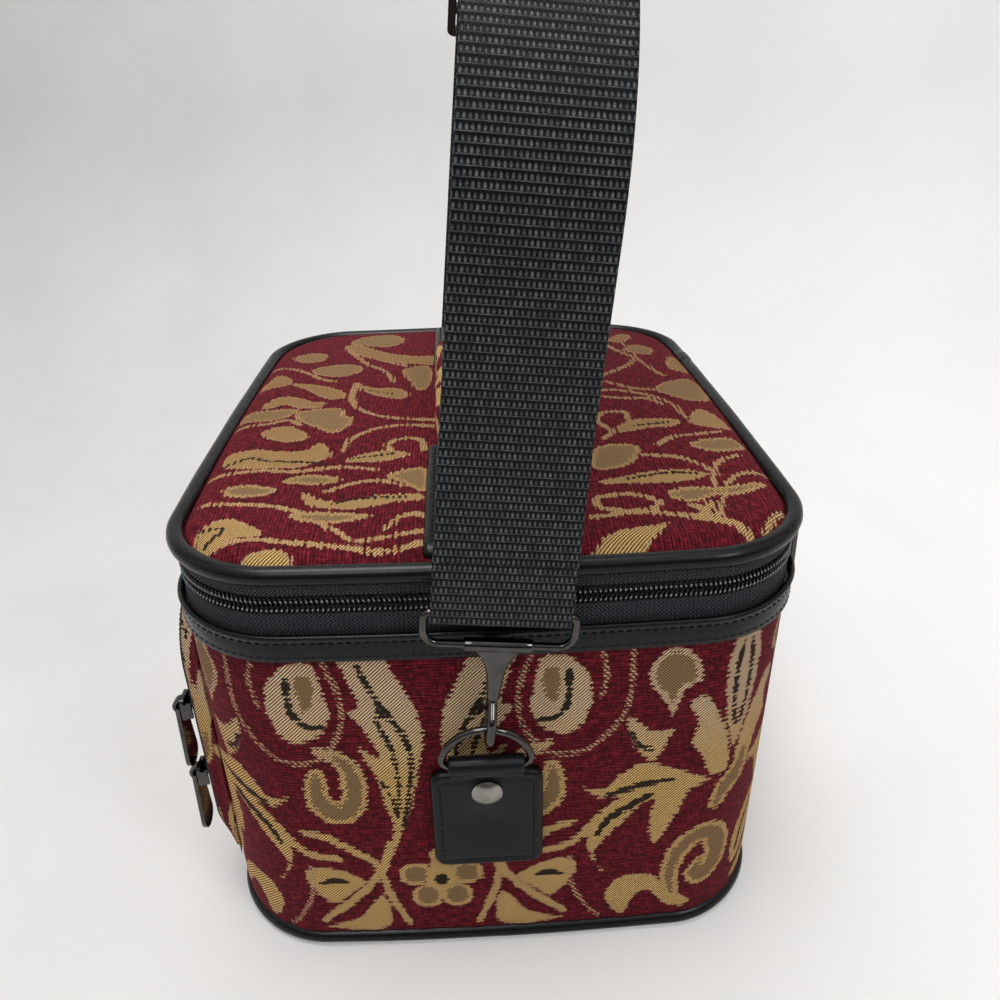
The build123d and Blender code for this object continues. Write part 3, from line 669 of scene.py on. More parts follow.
def zip_tape():
    m = Shader("zip_tape", specular_ior_level=0.2)
    place, u, v = m.weave()
    arm = m.op("PINGPONG", v, 1.3)
    herring = m.wave(m.mad(arm, 1.5, u), 1.3)
    fuzz = m.noise(place, 2.2, 3.0)
    m.colour(m.ramp(m.mad(herring, 0.24, fuzz), (0.32, srgb(4, 4, 7)), (0.75, srgb(84, 85, 92))))
    m.rough(m.grey(fuzz, 0.6, 0.85))
    m.bump(m.mad(herring, 0.5, fuzz), 0.6, 0.25 * MM)
    return m.material


def metal(name, dark, light, low, high):
    m = Shader(name, metallic=1.0)
    place = m.place()
    smear = m.noise(place, 0.18, 3.0, 0.6)
    scratch = m.noise(m.scaled(place, (6.0, 6.0, 0.4)), 1.0, 2.0)
    m.colour(m.ramp(smear, (0.3, dark), (0.7, light)))
    m.rough(m.grey(m.mad(scratch, 0.3, smear), low, high))
    m.bump(m.mad(scratch, 0.15, smear), 0.04, 0.1 * MM)
    return m.material


def webbing():
    m = Shader("webbing", specular_ior_level=0.22)
    place, u, v = m.weave()
    line = m.over(v, WEB_ROW)
    row = m.floor(line)
    column = m.mad(m.op("MODULO", row, 2.0), 0.5, m.over(u, WEB_COLUMN))
    tint = m.add("TexWhiteNoise", m.add("CombineXYZ", m.floor(column), row), noise_dimensions="2D")
    a = m.mul(m.sub(m.fract(column), 0.5), WEB_COLUMN / 0.4)
    b = m.mul(m.sub(m.fract(line), 0.44), WEB_ROW / 0.7)
    knot = m.sub(m.plus(m.mul(a, a), m.mul(b, b)), 1.0)
    knot = m.below(knot, 0.55)
    thread = m.size(m.sub(m.fract(line), 0.08))
    thread = m.below(m.sub(thread, 0.08), 0.06)
    fuzz = m.noise(place, 2.4, 3.0)
    # Painted highlight: the raised knots and thread lines are coloured lighter grey than the black yarn
    # around them.
    lit = m.mul(m.most(knot, m.mul(thread, 0.85)), m.mad(tint, 0.25, fuzz))
    m.colour(m.ramp(lit, (0.05, srgb(4, 5, 7)), (0.45, srgb(58, 61, 64)), (0.85, srgb(118, 122, 124))))
    m.rough(m.grey(fuzz, 0.4, 0.65))
    m.bump(m.mad(fuzz, 0.3, m.most(knot, m.mul(thread, 0.6))), 0.7, 0.45 * MM)
    return m.material


def leather():
    m = Shader("tab_leather", specular_ior_level=0.26)
    place = m.place()
    grain = m.add("TexVoronoi", place, 0.0, 2.2, feature="SMOOTH_F1")
    mottle = m.noise(place, 0.12, 4.0, 0.6)
    m.colour(m.ramp(mottle, (0.3, srgb(12, 14, 18)), (0.7, srgb(23, 26, 30))))
    m.rough(m.grey(mottle, 0.3, 0.42))
    m.bump(m.mad(grain, 0.25, m.noise(place, 1.2, 4.0)), 0.15, 0.2 * MM)
    return m.material


def thread():
    m = Shader("thread", specular_ior_level=0.25)
    place = m.place()
    twist = m.noise(place, 2.5, 2.0)
    m.colour(m.ramp(twist, (0.3, srgb(6, 6, 8)), (0.7, srgb(30, 31, 35))))
    m.rough(m.grey(twist, 0.45, 0.7))
    m.bump(twist, 0.4, 0.1 * MM)
    return m.material


def plastic(name, low, high):
    m = Shader(name, specular_ior_level=0.6)
    place = m.place()
    orange_peel = m.noise(place, 3.0, 2.0)
    m.colour(m.ramp(m.noise(place, 0.3), (0.3, srgb(8, 8, 10)), (0.7, srgb(20, 20, 23))))
    m.rough(m.grey(orange_peel, low, high))
    m.bump(orange_peel, 0.1, 0.1 * MM)
    return m.material


def lining():
    m = Shader("lining", sheen_weight=0.15, sheen_roughness=0.3)
    place = m.place()
    parts = m.add("SeparateXYZ", place).node
    warp = m.wave(m.plus(parts.outputs[0], parts.outputs[1]), 0.7)
    weft = m.wave(parts.outputs[2], 0.7)
    cloth = m.mad(warp, 0.2, m.mad(weft, 0.2, m.noise(place, 1.5, 3.0)))
    m.colour(m.ramp(cloth, (0.2, srgb(14, 13, 16)), (0.8, srgb(40, 38, 43))))
    m.rough(m.grey(cloth, 0.45, 0.7))
    m.bump(cloth, 0.3, 0.15 * MM)
    return m.material


TAPESTRY, VINYL, TAPE, WEBBING, LEATHER = tapestry(), vinyl(), zip_tape(), webbing(), leather()
THREAD, LINING = thread(), lining()
PLASTIC, COIL = plastic("black_plastic", 0.35, 0.5), plastic("zip_coil", 0.1, 0.2)
GUNMETAL = metal("gunmetal", srgb(76, 74, 73), srgb(100, 98, 96), 0.05, 0.12)
# Light grey metal for small knobs on the zip teeth: painted glints.
COIL_GLINT = metal("zip_coil_painted_glints", srgb(120, 121, 126), srgb(168, 169, 174), 0.12, 0.24)
SILVER = metal("rivet_silver", srgb(146, 143, 137), srgb(176, 172, 165), 0.16, 0.28)

# Wall of the case, drawn in slightly where it is sewn to the piping and the rim
OUTER_ROWS = np.linspace(WALL_BOTTOM, SEAM_TOP, 122)
s_wall = even_runs(740)
rows = np.concatenate([OUTER_ROWS, [WALL_TOP, WALL_TOP, WALL_BOTTOM]])
S, Z = np.meshgrid(s_wall, rows, indexing="ij")
seam = np.exp(-(Z - WALL_BOTTOM) / 4.0) + np.exp(-(SEAM_TOP - np.minimum(Z, SEAM_TOP)) / 4.0)
depth = -0.5 * seam * (0.7 + 0.3 * np.sin(S / 1.9) * np.sin(S / 5.3))
depth[:, -3] = -1.6
depth[:, -2:] = -2.8
X, Y = plan(S, depth)
wall_weave = pairs(np.append(s_wall, PERIMETER), np.append(rows, rows[0]))
points, faces, uv = grid(xyz(X, Y, Z), True, True, wall_weave)
wall = make("wall_tapestry", points, faces, TAPESTRY, "case", uv)
weave_in(wall, wall_fields(S.ravel(), Z.ravel()))
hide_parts("body_wall")

# Lid panel: crowned, and rolled down into the seam of the piping
PANEL, PANEL_UNDER, ROLL_WIDTH, ROLL_DROP = (92.6, 110.6, 30.6), 150.9, 9.0, 3.3


def lid_height(x, y):
    gap = np.clip(inset(x, y, *PANEL) / ROLL_WIDTH, 0, 1)
    return LID_APEX - (x ** 2 + y ** 2) / (2 * DOME_RADIUS) - ROLL_DROP * (1 - gap) ** 2.5


gx, gy, faces = sheet(*PANEL, 1.1)
bx, by = bow(gx, gy)
under = xyz(0.985 * bx, 0.985 * by, PANEL_UNDER)
points, faces, uv = closed(xyz(bx, by, lid_height(gx, gy)), faces, under, xyz(gy, gx))
lid = make("lid_tapestry", points, faces, TAPESTRY, "lid", uv)
fields = draw(xyz(gx, gy + LID_RAISE), LID_PATTERN)
# Painted shade on the lid's gold, stronger towards the far end.
fields["painted_gold_shade"] = np.clip(0.35 + (gy + 110.0) / 240.0, 0.35, 0.9)
weave_in(lid, {yarn: np.tile(field, 2) for yarn, field in fields.items()})
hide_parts("lid_panel")

PIPING_SIDES, LAP_HALF = 14, 5.0


# Piping round the lid and the base, each with the lap where its ends are joined
def tube(name, level, outset, radius, body, node, lap):
    angle = np.arange(PIPING_SIDES) * 2 * math.pi / PIPING_SIDES
    s = even_runs(620)
    past = np.minimum((np.abs(s - lap) - LAP_HALF) * 3.0, 60.0)
    swell = 0.35 / (1 + np.exp(past)) + 0.05 * np.sin(s / 9.0)
    girth = radius + swell[:, None]
    x, y = plan(s[:, None], outset + girth * np.cos(angle)[None])
    z = level + girth * np.sin(angle)[None]
    points, faces, _ = grid(xyz(x, y, z), True, True)
    piece = make(name, points, faces, VINYL, body)
    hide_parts(node)


BACK_MIDDLE = FLAT_X + QUARTER + FLAT_Y
tube("lid_piping_vinyl", 153.6, -1.2, 2.85, "lid", "lid_piping", BACK_MIDDLE + 0.75 * FLAT_Y)
tube("base_piping_vinyl", 3.2, -1.5, 2.7, "case", "base_piping", BACK_MIDDLE)

# Bound rim with its rolled top edge and two rows of stitches
RIM_PROFILE = [(0.2, 126.0), (1.0, 125.9), (1.5, 126.3), (1.35, 127.6), (1.5, 129.0), (1.5, 131.4),
               (1.3, 132.3), (1.45, 133.0), (1.8, 133.5), (2.0, 134.2), (1.8, 134.9), (1.2, 135.2),
               (0.2, 135.0)]
points, weave = plan_sweep(RIM_PROFILE, even_runs(520))
points, faces, uv = grid(points, True, True, weave)
rim = make("rim_vinyl", points, faces, VINYL, "case", uv)
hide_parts("rim_band")


def stitch_row(name, level, outset, pitch, body):
    s = even_runs(int(PERIMETER / pitch))
    x, y = plan(s, outset)
    out = outward(s)
    up = np.broadcast_to(UP, out.shape)
    template, faces = bead(pitch * 0.72, 0.6, 0.5, 6, 4)
    place = xyz(x, y, level)
    points, every = copies(template, faces, place, np.stack([np.cross(up, out), up, out], 1))
    make(name, points, every, THREAD, body)


stitch_row("rim_stitches_lower", 127.6, 1.4, 2.6, "case")
stitch_row("rim_stitches_upper", 132.3, 1.4, 2.6, "case")


# Zip: tapes with a backing strip behind the chain, and the coils
def tape_ring(name, profile, s, is_closed, body, node):
    points, weave = plan_sweep(profile, s)
    points, faces, uv = grid(points, is_closed, True, weave)
    piece = make(name, points, faces, TAPE, body, uv, smooth=False)
    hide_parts(node)


OPEN_START = BACK_MIDDLE + FLAT_Y + 1.0
OPEN_LENGTH = PERIMETER - 2 * FLAT_Y - 2.0
s_open = OPEN_START + np.linspace(0, OPEN_LENGTH, 430)
LOWER_TAPE = [(-0.6, 133.6), (-1.0, 141.0), (-1.9, 141.6), (-1.9, 143.6), (-2.3, 143.6), (-2.3, 133.6)]
UPPER_TAPE = [(-1.9, 144.2), (-1.9, 146.6), (-1.0, 147.2), (-0.7, 151.4), (-2.3, 151.4), (-2.3, 144.2)]
tape_ring("lower_tape", LOWER_TAPE, even_runs(520), True, "case", "lower_zip_tape")
tape_ring("upper_tape", UPPER_TAPE, s_open, False, "lid", "upper_zip_tape")


def teeth(name, place, long, wide, out, body, node):
    template, faces = bead(2.6, 0.85, 1.3, 8, 5)
    points, every = copies(template, faces, place, np.stack([long, wide, out], 1))
    piece = make(name, points, every, COIL, body)
    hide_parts(node)
    # Each tooth gets a small knob of light metal: painted glints on the black coil.
    template, faces = bead(1.0, 0.75, 0.7, 8, 5)
    points, every = copies(np.array(template) + (0, 0, 0.42), faces, place, np.stack([long, wide, out], 1))
    make(f"{name}_painted_glints", points, every, COIL_GLINT, body)


def teeth_row(name, level, s, lean, body, node):
    x, y = plan(s, -1.2)
    out = outward(s)
    up = np.broadcast_to(UP, out.shape)
    run = np.cross(up, out)
    tilt = math.radians(lean)
    long = up * math.cos(tilt) + run * math.sin(tilt)
    wide = run * math.cos(tilt) - up * math.sin(tilt)
    teeth(name, xyz(x, y, level), long, wide, out, body, node)


TOOTH_PITCH = 1.45
teeth_row("lower_teeth", 142.5, even_runs(int(PERIMETER / TOOTH_PITCH)), 16, "case", "lower_zip_coil")
s_teeth = OPEN_START + np.arange(0, OPEN_LENGTH, TOOTH_PITCH)
teeth_row("upper_teeth", 145.3, s_teeth, -16, "lid", "upper_zip_coil")

# Cloth hinge at the back, between the case and the lid, bowed out a little
HINGE_START, HINGE_END, HINGE_LOW, HINGE_TALL = -53.0, 79.5, 134.2, 17.4
HINGE_X, HINGE_THICK = 96.9, 0.9
hy = np.linspace(HINGE_START, HINGE_END, 60)
hz = HINGE_LOW + np.linspace(0, HINGE_TALL, 30)
HY, HZ = np.meshgrid(hy, hz, indexing="ij")
swell = 0.5 * np.sin(np.pi * (HZ - HINGE_LOW) / HINGE_TALL)
HX, HY2 = bow(HINGE_X + swell, HY)
points, faces, _ = grid(xyz(HX, HY2, HZ), False, False)
weave = xyz(HY.ravel(), HZ.ravel())
points, faces, uv = closed(points, np.array(faces), points - np.array([HINGE_THICK, 0, 0]), weave)
hinge = make("hinge_cloth", points, faces, VINYL, None, uv)
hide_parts("hinge_strip")
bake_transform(hinge)

# Shoulder strap: the CAD route of the webbing in its leaning plane, (along Y, up) in millimetres
LEAN = math.radians(5.5)
LEAN_UP = np.array([math.sin(LEAN), 0, math.cos(LEAN)])
LEAN_ACROSS = np.array([math.cos(LEAN), 0, -math.sin(LEAN)])
RING_X, RING_Z = -3.5, 91.0
PIVOT = np.array([RING_X, 0, RING_Z])
SHOULDER_RADIUS, TAIL_SLOPE, WEB_HALF, ROW_STEPS = 70.0, 0.1112, 19.0, 5
RING_Y, LEG_Y, EYE, EYE_RADIUS, PLY = 121.7, 118.2, 54.0, 2.45, 2.1
INNER, OUTER, BEND, SHOULDER, RISE = RING_Y - EYE_RADIUS, RING_Y + EYE_RADIUS, 107.5, 211.5, 20.0
ARC_START = SHOULDER - SHOULDER_RADIUS * math.tan((math.pi / 2 - math.atan2(RISE, LEG_Y)) / 2)


def arc(cx, cy, radius, start, end):
    a = np.radians(np.linspace(start, end, max(8, int(abs(end - start) / 3))))
    return xyz(cx + radius * np.cos(a), cy + radius * np.sin(a))


def filleted(points, radii):
    """A line through points with rounded corners."""
    p = np.asarray(points, float)
    out = [p[:1]]
    for a, b, c, radius in zip(p[:-2], p[1:-1], p[2:], radii):
        d, e = (a - b) / np.linalg.norm(a - b), (c - b) / np.linalg.norm(c - b)
        half = math.acos(np.clip(d @ e, -1, 1)) / 2
        middle = b + (d + e) / np.linalg.norm(d + e) * radius / math.sin(half)
        first, last = b + d * radius / math.tan(half), b + e * radius / math.tan(half)
        start, end = (math.degrees(math.atan2(*(q - middle)[::-1])) for q in (first, last))
        out.append(arc(*middle, radius, start, start + (end - start + 180) % 360 - 180))
    return np.vstack(out + [p[-1:]])


route = np.vstack([
    [(-OUTER + TAIL_SLOPE * 18 + PLY, EYE + 18), (-INNER, EYE)],
    arc(-RING_Y, EYE, EYE_RADIUS, 0, -180),
    filleted([(-OUTER, EYE), (-LEG_Y, BEND), (-LEG_Y, SHOULDER), (0, SHOULDER + RISE), (LEG_Y, SHOULDER),
              (LEG_Y, BEND), (INNER, EYE)], (60, SHOULDER_RADIUS, 200, SHOULDER_RADIUS, 60)),
    arc(RING_Y, EYE, EYE_RADIUS, 180, 360),
    filleted([(OUTER, EYE), (LEG_Y + PLY, BEND), (LEG_Y + PLY, ARC_START)], (60,)),
    arc(LEG_Y - SHOULDER_RADIUS, ARC_START, SHOULDER_RADIUS + PLY, 0, 62),
])
place, ahead = resample(route, WEB_ROW / ROW_STEPS)
side = xyz(-ahead[:, 1], ahead[:, 0])
across = np.array([-18.7, -17, -13, -8, -3, 3, 8, 13, 17, 18.7])
half = 0.72 + 0.1 * np.cos(2 * np.pi * np.arange(len(place)) / ROW_STEPS)
profile = [(a, 1) for a in across] + [(WEB_HALF, 0)]
profile += [(a, -1) for a in across[::-1]] + [(-WEB_HALF, 0)]
ribbon = np.empty((len(place), len(profile), 3))
for k, (a, face) in enumerate(profile):
    at = place + side * (face * half)[:, None]
    ribbon[:, k] = PIVOT + at[:, :1] * ALONG_Y + at[:, 1:] * LEAN_UP + a * LEAN_ACROSS
weave = np.empty((len(place), len(profile) + 1, 2))
weave[..., 0] = np.array([a for a, _ in profile] + [-WEB_HALF])[None] + WEB_HALF
weave[..., 1] = (np.arange(len(place)) * WEB_ROW / ROW_STEPS)[:, None]
points, faces, uv = grid(ribbon, False, True, weave)
uv = cap(points, faces, len(profile), uv)
strap = make("strap_ribbon", points, faces, WEBBING, "strap", uv)
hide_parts("strap_webbing")


def strap_line(y, h, a0, a1):
    """A line across the webbing at one place in the leaning plane."""
    return [PIVOT + y * ALONG_Y + h * LEAN_UP + a * LEAN_ACROSS for a in (a0, a1)]


seam_y = -OUTER + TAIL_SLOPE * 14 - 0.75
bartack = [strap_line(seam_y + shift, EYE + up, -17.5, 17.5) for shift, up in ((0, 14), (0.3, 16.5))]
stitches("strap_bartack", bartack, (0, -1, 0), 1.6, "strap", 0.5)

# Leather tabs: stitched plates with a neck folded round the ring's bar
TAB_Z, TAB_HALF = 62.75, (17.5, 20.25, 4.2)
TAB_FACE, TAB_BACK, STITCH_IN, FOLD_RADIUS = 114.4, 114.35, 2.9, 2.9
tx, tz, tab_faces = sheet(*TAB_HALF, 0.55)
gap = inset(tx, tz, *TAB_HALF)
relief = 3.4 - 1.1 * np.clip(1 - gap / 1.3, 0, 1) ** 2 - 0.35 * bell((gap - STITCH_IN) / 0.55)
relief -= 1.3 * np.exp(-((tx / 8.5) ** 2 + ((tz + 0.5) / 8.0) ** 2))
fold = np.radians(range(205, -1, -15))
neck = np.vstack([
    [(-117.8, 79.5), (-118.2, 82.0), (-122.9, 88.4)],
    xyz(FOLD_RADIUS * np.cos(fold) - RING_Y, FOLD_RADIUS * np.sin(fold) + RING_Z),
    [(-118.0, 88.0), (-114.5, 82.4), (-114.5, 79.5)],
])
neck_x = np.array([-11.4, -11.25, -10.7, -5, 0, 5, 10.7, 11.25, 11.4])
neck_size = np.array([0.86, 0.95, 1, 1, 1, 1, 1, 0.95, 0.86])
middle = neck.mean(0)
NX = np.repeat(neck_x[:, None], len(neck), 1)
NYZ = middle + (neck - middle)[None] * neck_size[:, None, None]
for end, side_sign in ENDS:
    front = xyz(tx + RING_X, side_sign * (TAB_FACE + relief), tz + TAB_Z)
    back = xyz(tx + RING_X, side_sign * TAB_BACK, tz + TAB_Z)
    turned = tab_faces if side_sign < 0 else tab_faces[:, ::-1]
    plate_points, plate_faces, _ = closed(front, turned, back, xyz(tx, tz))
    neck_points = xyz(NX + RING_X, -side_sign * NYZ[..., 0], NYZ[..., 1])
    points, faces, _ = grid(neck_points, False, True)
    cap(points, faces, len(neck))
    if side_sign < 0:
        faces = [face[::-1] for face in faces]
    shift = len(plate_points)
    tab = make(f"{end}_tab_leather", np.vstack([plate_points, points]),
               plate_faces + [[i + shift for i in face] for face in faces], LEATHER, "case")
    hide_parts(f"{end}_tab")
    edge_x, edge_z = TAB_HALF[0] - STITCH_IN, TAB_HALF[1] - STITCH_IN
    stitch_y = side_sign * (TAB_FACE + 3.1)
    path = [(-edge_x, edge_z - 2), (-edge_x, 2 - edge_z), (2 - edge_x, -edge_z),
            (edge_x - 2, -edge_z), (edge_x, 2 - edge_z), (edge_x, edge_z - 2)]
    path = [(x + RING_X, stitch_y, z + TAB_Z) for x, z in path]
    stitches(f"{end}_tab_stitches", [path], (0, side_sign, 0), 2.3, "case", 0.75)


WIRE_SIDES = 18


# Hooks, loops and rings: drawn wire and cast metal with rounded sections
def wire(name, line, normal, radius, is_closed, body, node):
    """A round bar along a flat line of points; its open ends are rounded."""
    line, normal = np.asarray(line, float), np.asarray(normal, float)
    radius = np.broadcast_to(np.asarray(radius, float), len(line))
    if is_closed:
        ahead = np.roll(line, -1, 0) - np.roll(line, 1, 0)
    else:
        ends = np.radians([84, 62, 40, 20])
        first, last = line[0] - line[1], line[-1] - line[-2]
        first, last = first / np.linalg.norm(first), last / np.linalg.norm(last)
        head = [line[0] + first * radius[0] * math.sin(a) for a in ends]
        tail = [line[-1] + last * radius[-1] * math.sin(a) for a in ends[::-1]]
        radius = np.concatenate([radius[0] * np.cos(ends), radius, radius[-1] * np.cos(ends[::-1])])
        line = np.vstack([head, line, tail])
        ahead = np.gradient(line, axis=0)
    ahead = ahead / np.linalg.norm(ahead, axis=1, keepdims=True)
    out = np.cross(normal, ahead)
    angle = np.arange(WIRE_SIDES) * 2 * math.pi / WIRE_SIDES
    ring = np.cos(angle)[None, :, None] * normal + np.sin(angle)[None, :, None] * out[:, None]
    points, faces, _ = grid(line[:, None] + radius[:, None, None] * ring, is_closed, True)
    if not is_closed:
        cap(points, faces, WIRE_SIDES)
    piece = make(name, points, faces, GUNMETAL, body)
    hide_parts(node)


def leaning(line, side_sign):
    """Points in the strap's leaning plane, given as (out from the ring's bar, up), at one end."""
    line = np.asarray(line, float)
    return PIVOT + side_sign * (RING_Y + line[:, :1]) * ALONG_Y + line[:, 1:] * LEAN_UP


RING_RADIUS, RING_BEND = 13.5, 2.6
BEND_X = math.sqrt((RING_RADIUS - RING_BEND) ** 2 - RING_BEND ** 2)
BEND_END = math.degrees(math.atan2(RING_BEND, BEND_X))
d_shape = np.vstack([arc(BEND_X, RING_BEND, RING_BEND, -90, BEND_END)[:-1],
                     arc(0, 0, RING_RADIUS, BEND_END, 180 - BEND_END)[:-1],
                     arc(-BEND_X, RING_BEND, RING_BEND, 180 - BEND_END, 270)])
LOOP_HALF, LOOP_LEVEL, LOOP_TOP = 20.7, 44.0, 54.0
loop_shape = np.vstack([arc(x, z, r, a, a + 90) for x, z, r, a in (
    (LOOP_HALF - 4.4, LOOP_LEVEL + 4.4, 4.4, -90), (LOOP_HALF - 2, LOOP_TOP - 2, 2, 0),
    (2 - LOOP_HALF, LOOP_TOP - 2, 2, 90), (4.4 - LOOP_HALF, LOOP_LEVEL + 4.4, 4.4, 180))])
BOWL, BOWL_LEVEL, TIP_LEVEL = 4.6, 14.9, 17.9
hook_line = np.vstack([filleted([(0, 30), (0, 24), (BOWL, 19.8), (BOWL, BOWL_LEVEL)], (1.6, 3.0)),
                       arc(0, BOWL_LEVEL, BOWL, 0, -180)[1:], [(-BOWL, TIP_LEVEL - 1.3)]])
hook_girth = np.interp(hook_line[:, 1], [24.5, 26], [1.4, 1.05])
NECK_UP = np.array([25.6, 26.2, 28, 30.5, 33, 35.5, 38, 40, 41.6, 42.8, 43.6])
NECK_HALF = np.array([1.75, 1.95, 2.0, 2.15, 2.45, 2.9, 3.6, 4.6, 6.0, 7.6, 8.8])
NECK_DEEP = np.array([1.75, 1.95, 2.0, 2.1, 2.2, 2.2, 2.15, 2.05, 1.9, 1.75, 1.5])
SLEEVE_AT = np.array([-9.6, -9.5, -9.0, -6, 0, 6, 9.0, 9.5, 9.6])
SLEEVE_GIRTH = np.array([1.3, 1.75, 1.95, 2.0, 2.0, 2.0, 1.95, 1.75, 1.3])
angle = np.arange(24) * 2 * math.pi / 24
for end, side_sign in ENDS:
    ring_line = xyz(RING_X + d_shape[:, 0], side_sign * RING_Y, RING_Z + d_shape[:, 1])
    wire(f"{end}_ring_wire", ring_line, (0, 1, 0), 1.2, True, f"{end}_d_ring", f"{end}_d_ring")
    middle = PIVOT + np.array([0, side_sign * RING_Y, 0])
    loop_line = middle + loop_shape[:, :1] * LEAN_ACROSS + loop_shape[:, 1:] * LEAN_UP
    wire(f"{end}_loop_wire", loop_line, (0, 1, 0), 1.15, True, "strap", f"{end}_hook_loop")
    bar_line = leaning(hook_line, side_sign)
    wire(f"{end}_hook_bar", bar_line, LEAN_ACROSS, hook_girth, False, f"{end}_hook", f"{end}_hook")
    neck_rings = (middle + NECK_UP[:, None, None] * LEAN_UP
                  + (NECK_HALF[:, None] * np.cos(angle))[..., None] * LEAN_ACROSS
                  + (NECK_DEEP[:, None] * np.sin(angle))[..., None] * ALONG_Y)
    sleeve_rings = (middle + LOOP_LEVEL * LEAN_UP + SLEEVE_AT[:, None, None] * LEAN_ACROSS
                    + (SLEEVE_GIRTH[:, None] * np.cos(angle))[..., None] * ALONG_Y
                    + (SLEEVE_GIRTH[:, None] * np.sin(angle))[..., None] * LEAN_UP)
    points, faces = np.zeros((0, 3)), []
    for rings in (neck_rings, sleeve_rings):
        ring_points, ring_faces, _ = grid(rings, False, True)
        cap(ring_points, ring_faces, len(angle))
        faces += [[i + len(points) for i in face[::-1]] for face in ring_faces]
        points = np.vstack([points, ring_points])
    socket = make(f"{end}_socket_cast", points, faces, GUNMETAL, "strap")
    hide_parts(f"{end}_hook_socket")

# Handle: flat bands sewn to the lid, and the padded grip
BAND_HALF, BAND_Y, BAND_SEAM = (19.0, 33.0, 1.5), 76.0, 16.4
band_x, band_y, band_faces = sheet(*BAND_HALF, 0.9)
gap = inset(band_x, band_y, *BAND_HALF)
rise = 0.25 + 1.5 * np.sqrt(np.clip(gap, 0, 1)) - 0.3 * bell((gap - 2.6) / 0.5)
for end, side_sign in ENDS:
    y = band_y + side_sign * BAND_Y
    surface = lid_height(band_x, y)
    top = xyz(band_x, y, surface + rise)
    points, faces, uv = closed(top, band_faces, xyz(band_x, y, surface + 0.1), xyz(band_x, y))
    band = make(f"{end}_handle_vinyl", points, faces, VINYL, "lid", uv)
    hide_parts(f"{end}_handle_band")
    lines = []
    for x in (-BAND_SEAM, BAND_SEAM):
        ys = side_sign * np.linspace(46, 106, 30)
        lines.append(xyz(x, ys, lid_height(x, ys) + 1.7))
    stitches(f"{end}_handle_stitches", lines, (0, 0, 1), 2.6, "lid", 0.65)

GRIP_END, GRIP_BASE, GRIP_SIDES, GIRTH_STEP = 57.6, 161.3, 72, 1.15
LOW_RADIUS, HIGH_RADIUS = 97.5, 94.1
GRIP_Y = np.linspace(-GRIP_END, GRIP_END, 150)
drop = LOW_RADIUS - np.sqrt(np.maximum(LOW_RADIUS ** 2 - GRIP_Y ** 2, 0))
low = np.where(np.abs(GRIP_Y) < 45, 11 - drop, 0)
high = 20 - (HIGH_RADIUS - np.sqrt(HIGH_RADIUS ** 2 - GRIP_Y ** 2))
thick = np.maximum(high - np.maximum(low, 0), 1.2)
level = GRIP_BASE + np.maximum(low, 0) + thick / 2
ring = np.radians(np.arange(GRIP_SIDES) * 360.0 / GRIP_SIDES)
round_x = np.sign(np.cos(ring)) * np.abs(np.cos(ring)) ** 0.55
round_z = np.sign(np.sin(ring)) * np.abs(np.sin(ring)) ** 0.75
pinch = 1 - 0.12 * bell((np.abs(GRIP_Y) - GRIP_END) / 9.0) + 0.012 * np.sin(GRIP_Y / 2.2)
GX = 16.0 * pinch[:, None] * round_x[None]
GZ = level[:, None] + 0.5 * thick[:, None] * round_z[None]
GY = np.repeat(GRIP_Y[:, None], GRIP_SIDES, 1)
girth = np.arange(GRIP_SIDES + 1) * GIRTH_STEP
points, faces, uv = grid(xyz(GX, GY, GZ)[:, ::-1], False, True, pairs(GRIP_Y, girth))
uv = cap(points, faces, GRIP_SIDES, uv)
grip = make("grip_tapestry", points, faces, TAPESTRY, "lid", uv)
weave_in(grip, wall_fields(GY.ravel() + 300, 30 + np.tile(girth[:-1], len(GRIP_Y))))
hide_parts("handle_grip")

# Front pocket: padded panel with the cloth's own drawing, zip tape and coil round three sides
FRONT_RUN = PERIMETER - FLAT_X - QUARTER - FLAT_Y
POCKET, POCKET_MIDDLE = (76.0, 48.0, 9.0), 68.0
POCKET_FOOT, POCKET_RISE = 17.0, 22.0
PANEL_X, TAPE_X, TEETH_X = 96.35, 95.6, 95.8


def foot(z):
    """The pocket grows out of the wall above its sewn foot."""
    share = np.clip((z - POCKET_FOOT) / POCKET_RISE, 0, 1)
    return share * share * (3 - 2 * share)


py, pz, pocket_faces = sheet(*POCKET, 1.1)
gap = inset(py, pz, *POCKET)
puff = 6.9 * np.clip(gap / 13.0, 0, 1) ** 0.45 + 0.5 * np.exp(-((py / 60) ** 2 + ((pz + 12) / 30) ** 2))
pocket_z = pz + POCKET_MIDDLE
puff = np.minimum(puff, 7.4) * foot(pocket_z)
front_x, front_y = bow(-PANEL_X - puff, py)
back_x, back_y = bow(-HALF_X, py)
pattern_s = FRONT_RUN - py
points, faces, uv = closed(xyz(front_x, front_y, pocket_z), pocket_faces[:, ::-1],
                           xyz(back_x, back_y, pocket_z), xyz(pattern_s, pocket_z))
pocket = make("pocket_tapestry", points, faces, TAPESTRY, "case", uv)
fields = wall_fields(pattern_s, pocket_z)
weave_in(pocket, {yarn: np.tile(field, 2) for yarn, field in fields.items()})
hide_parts("pocket_panel")

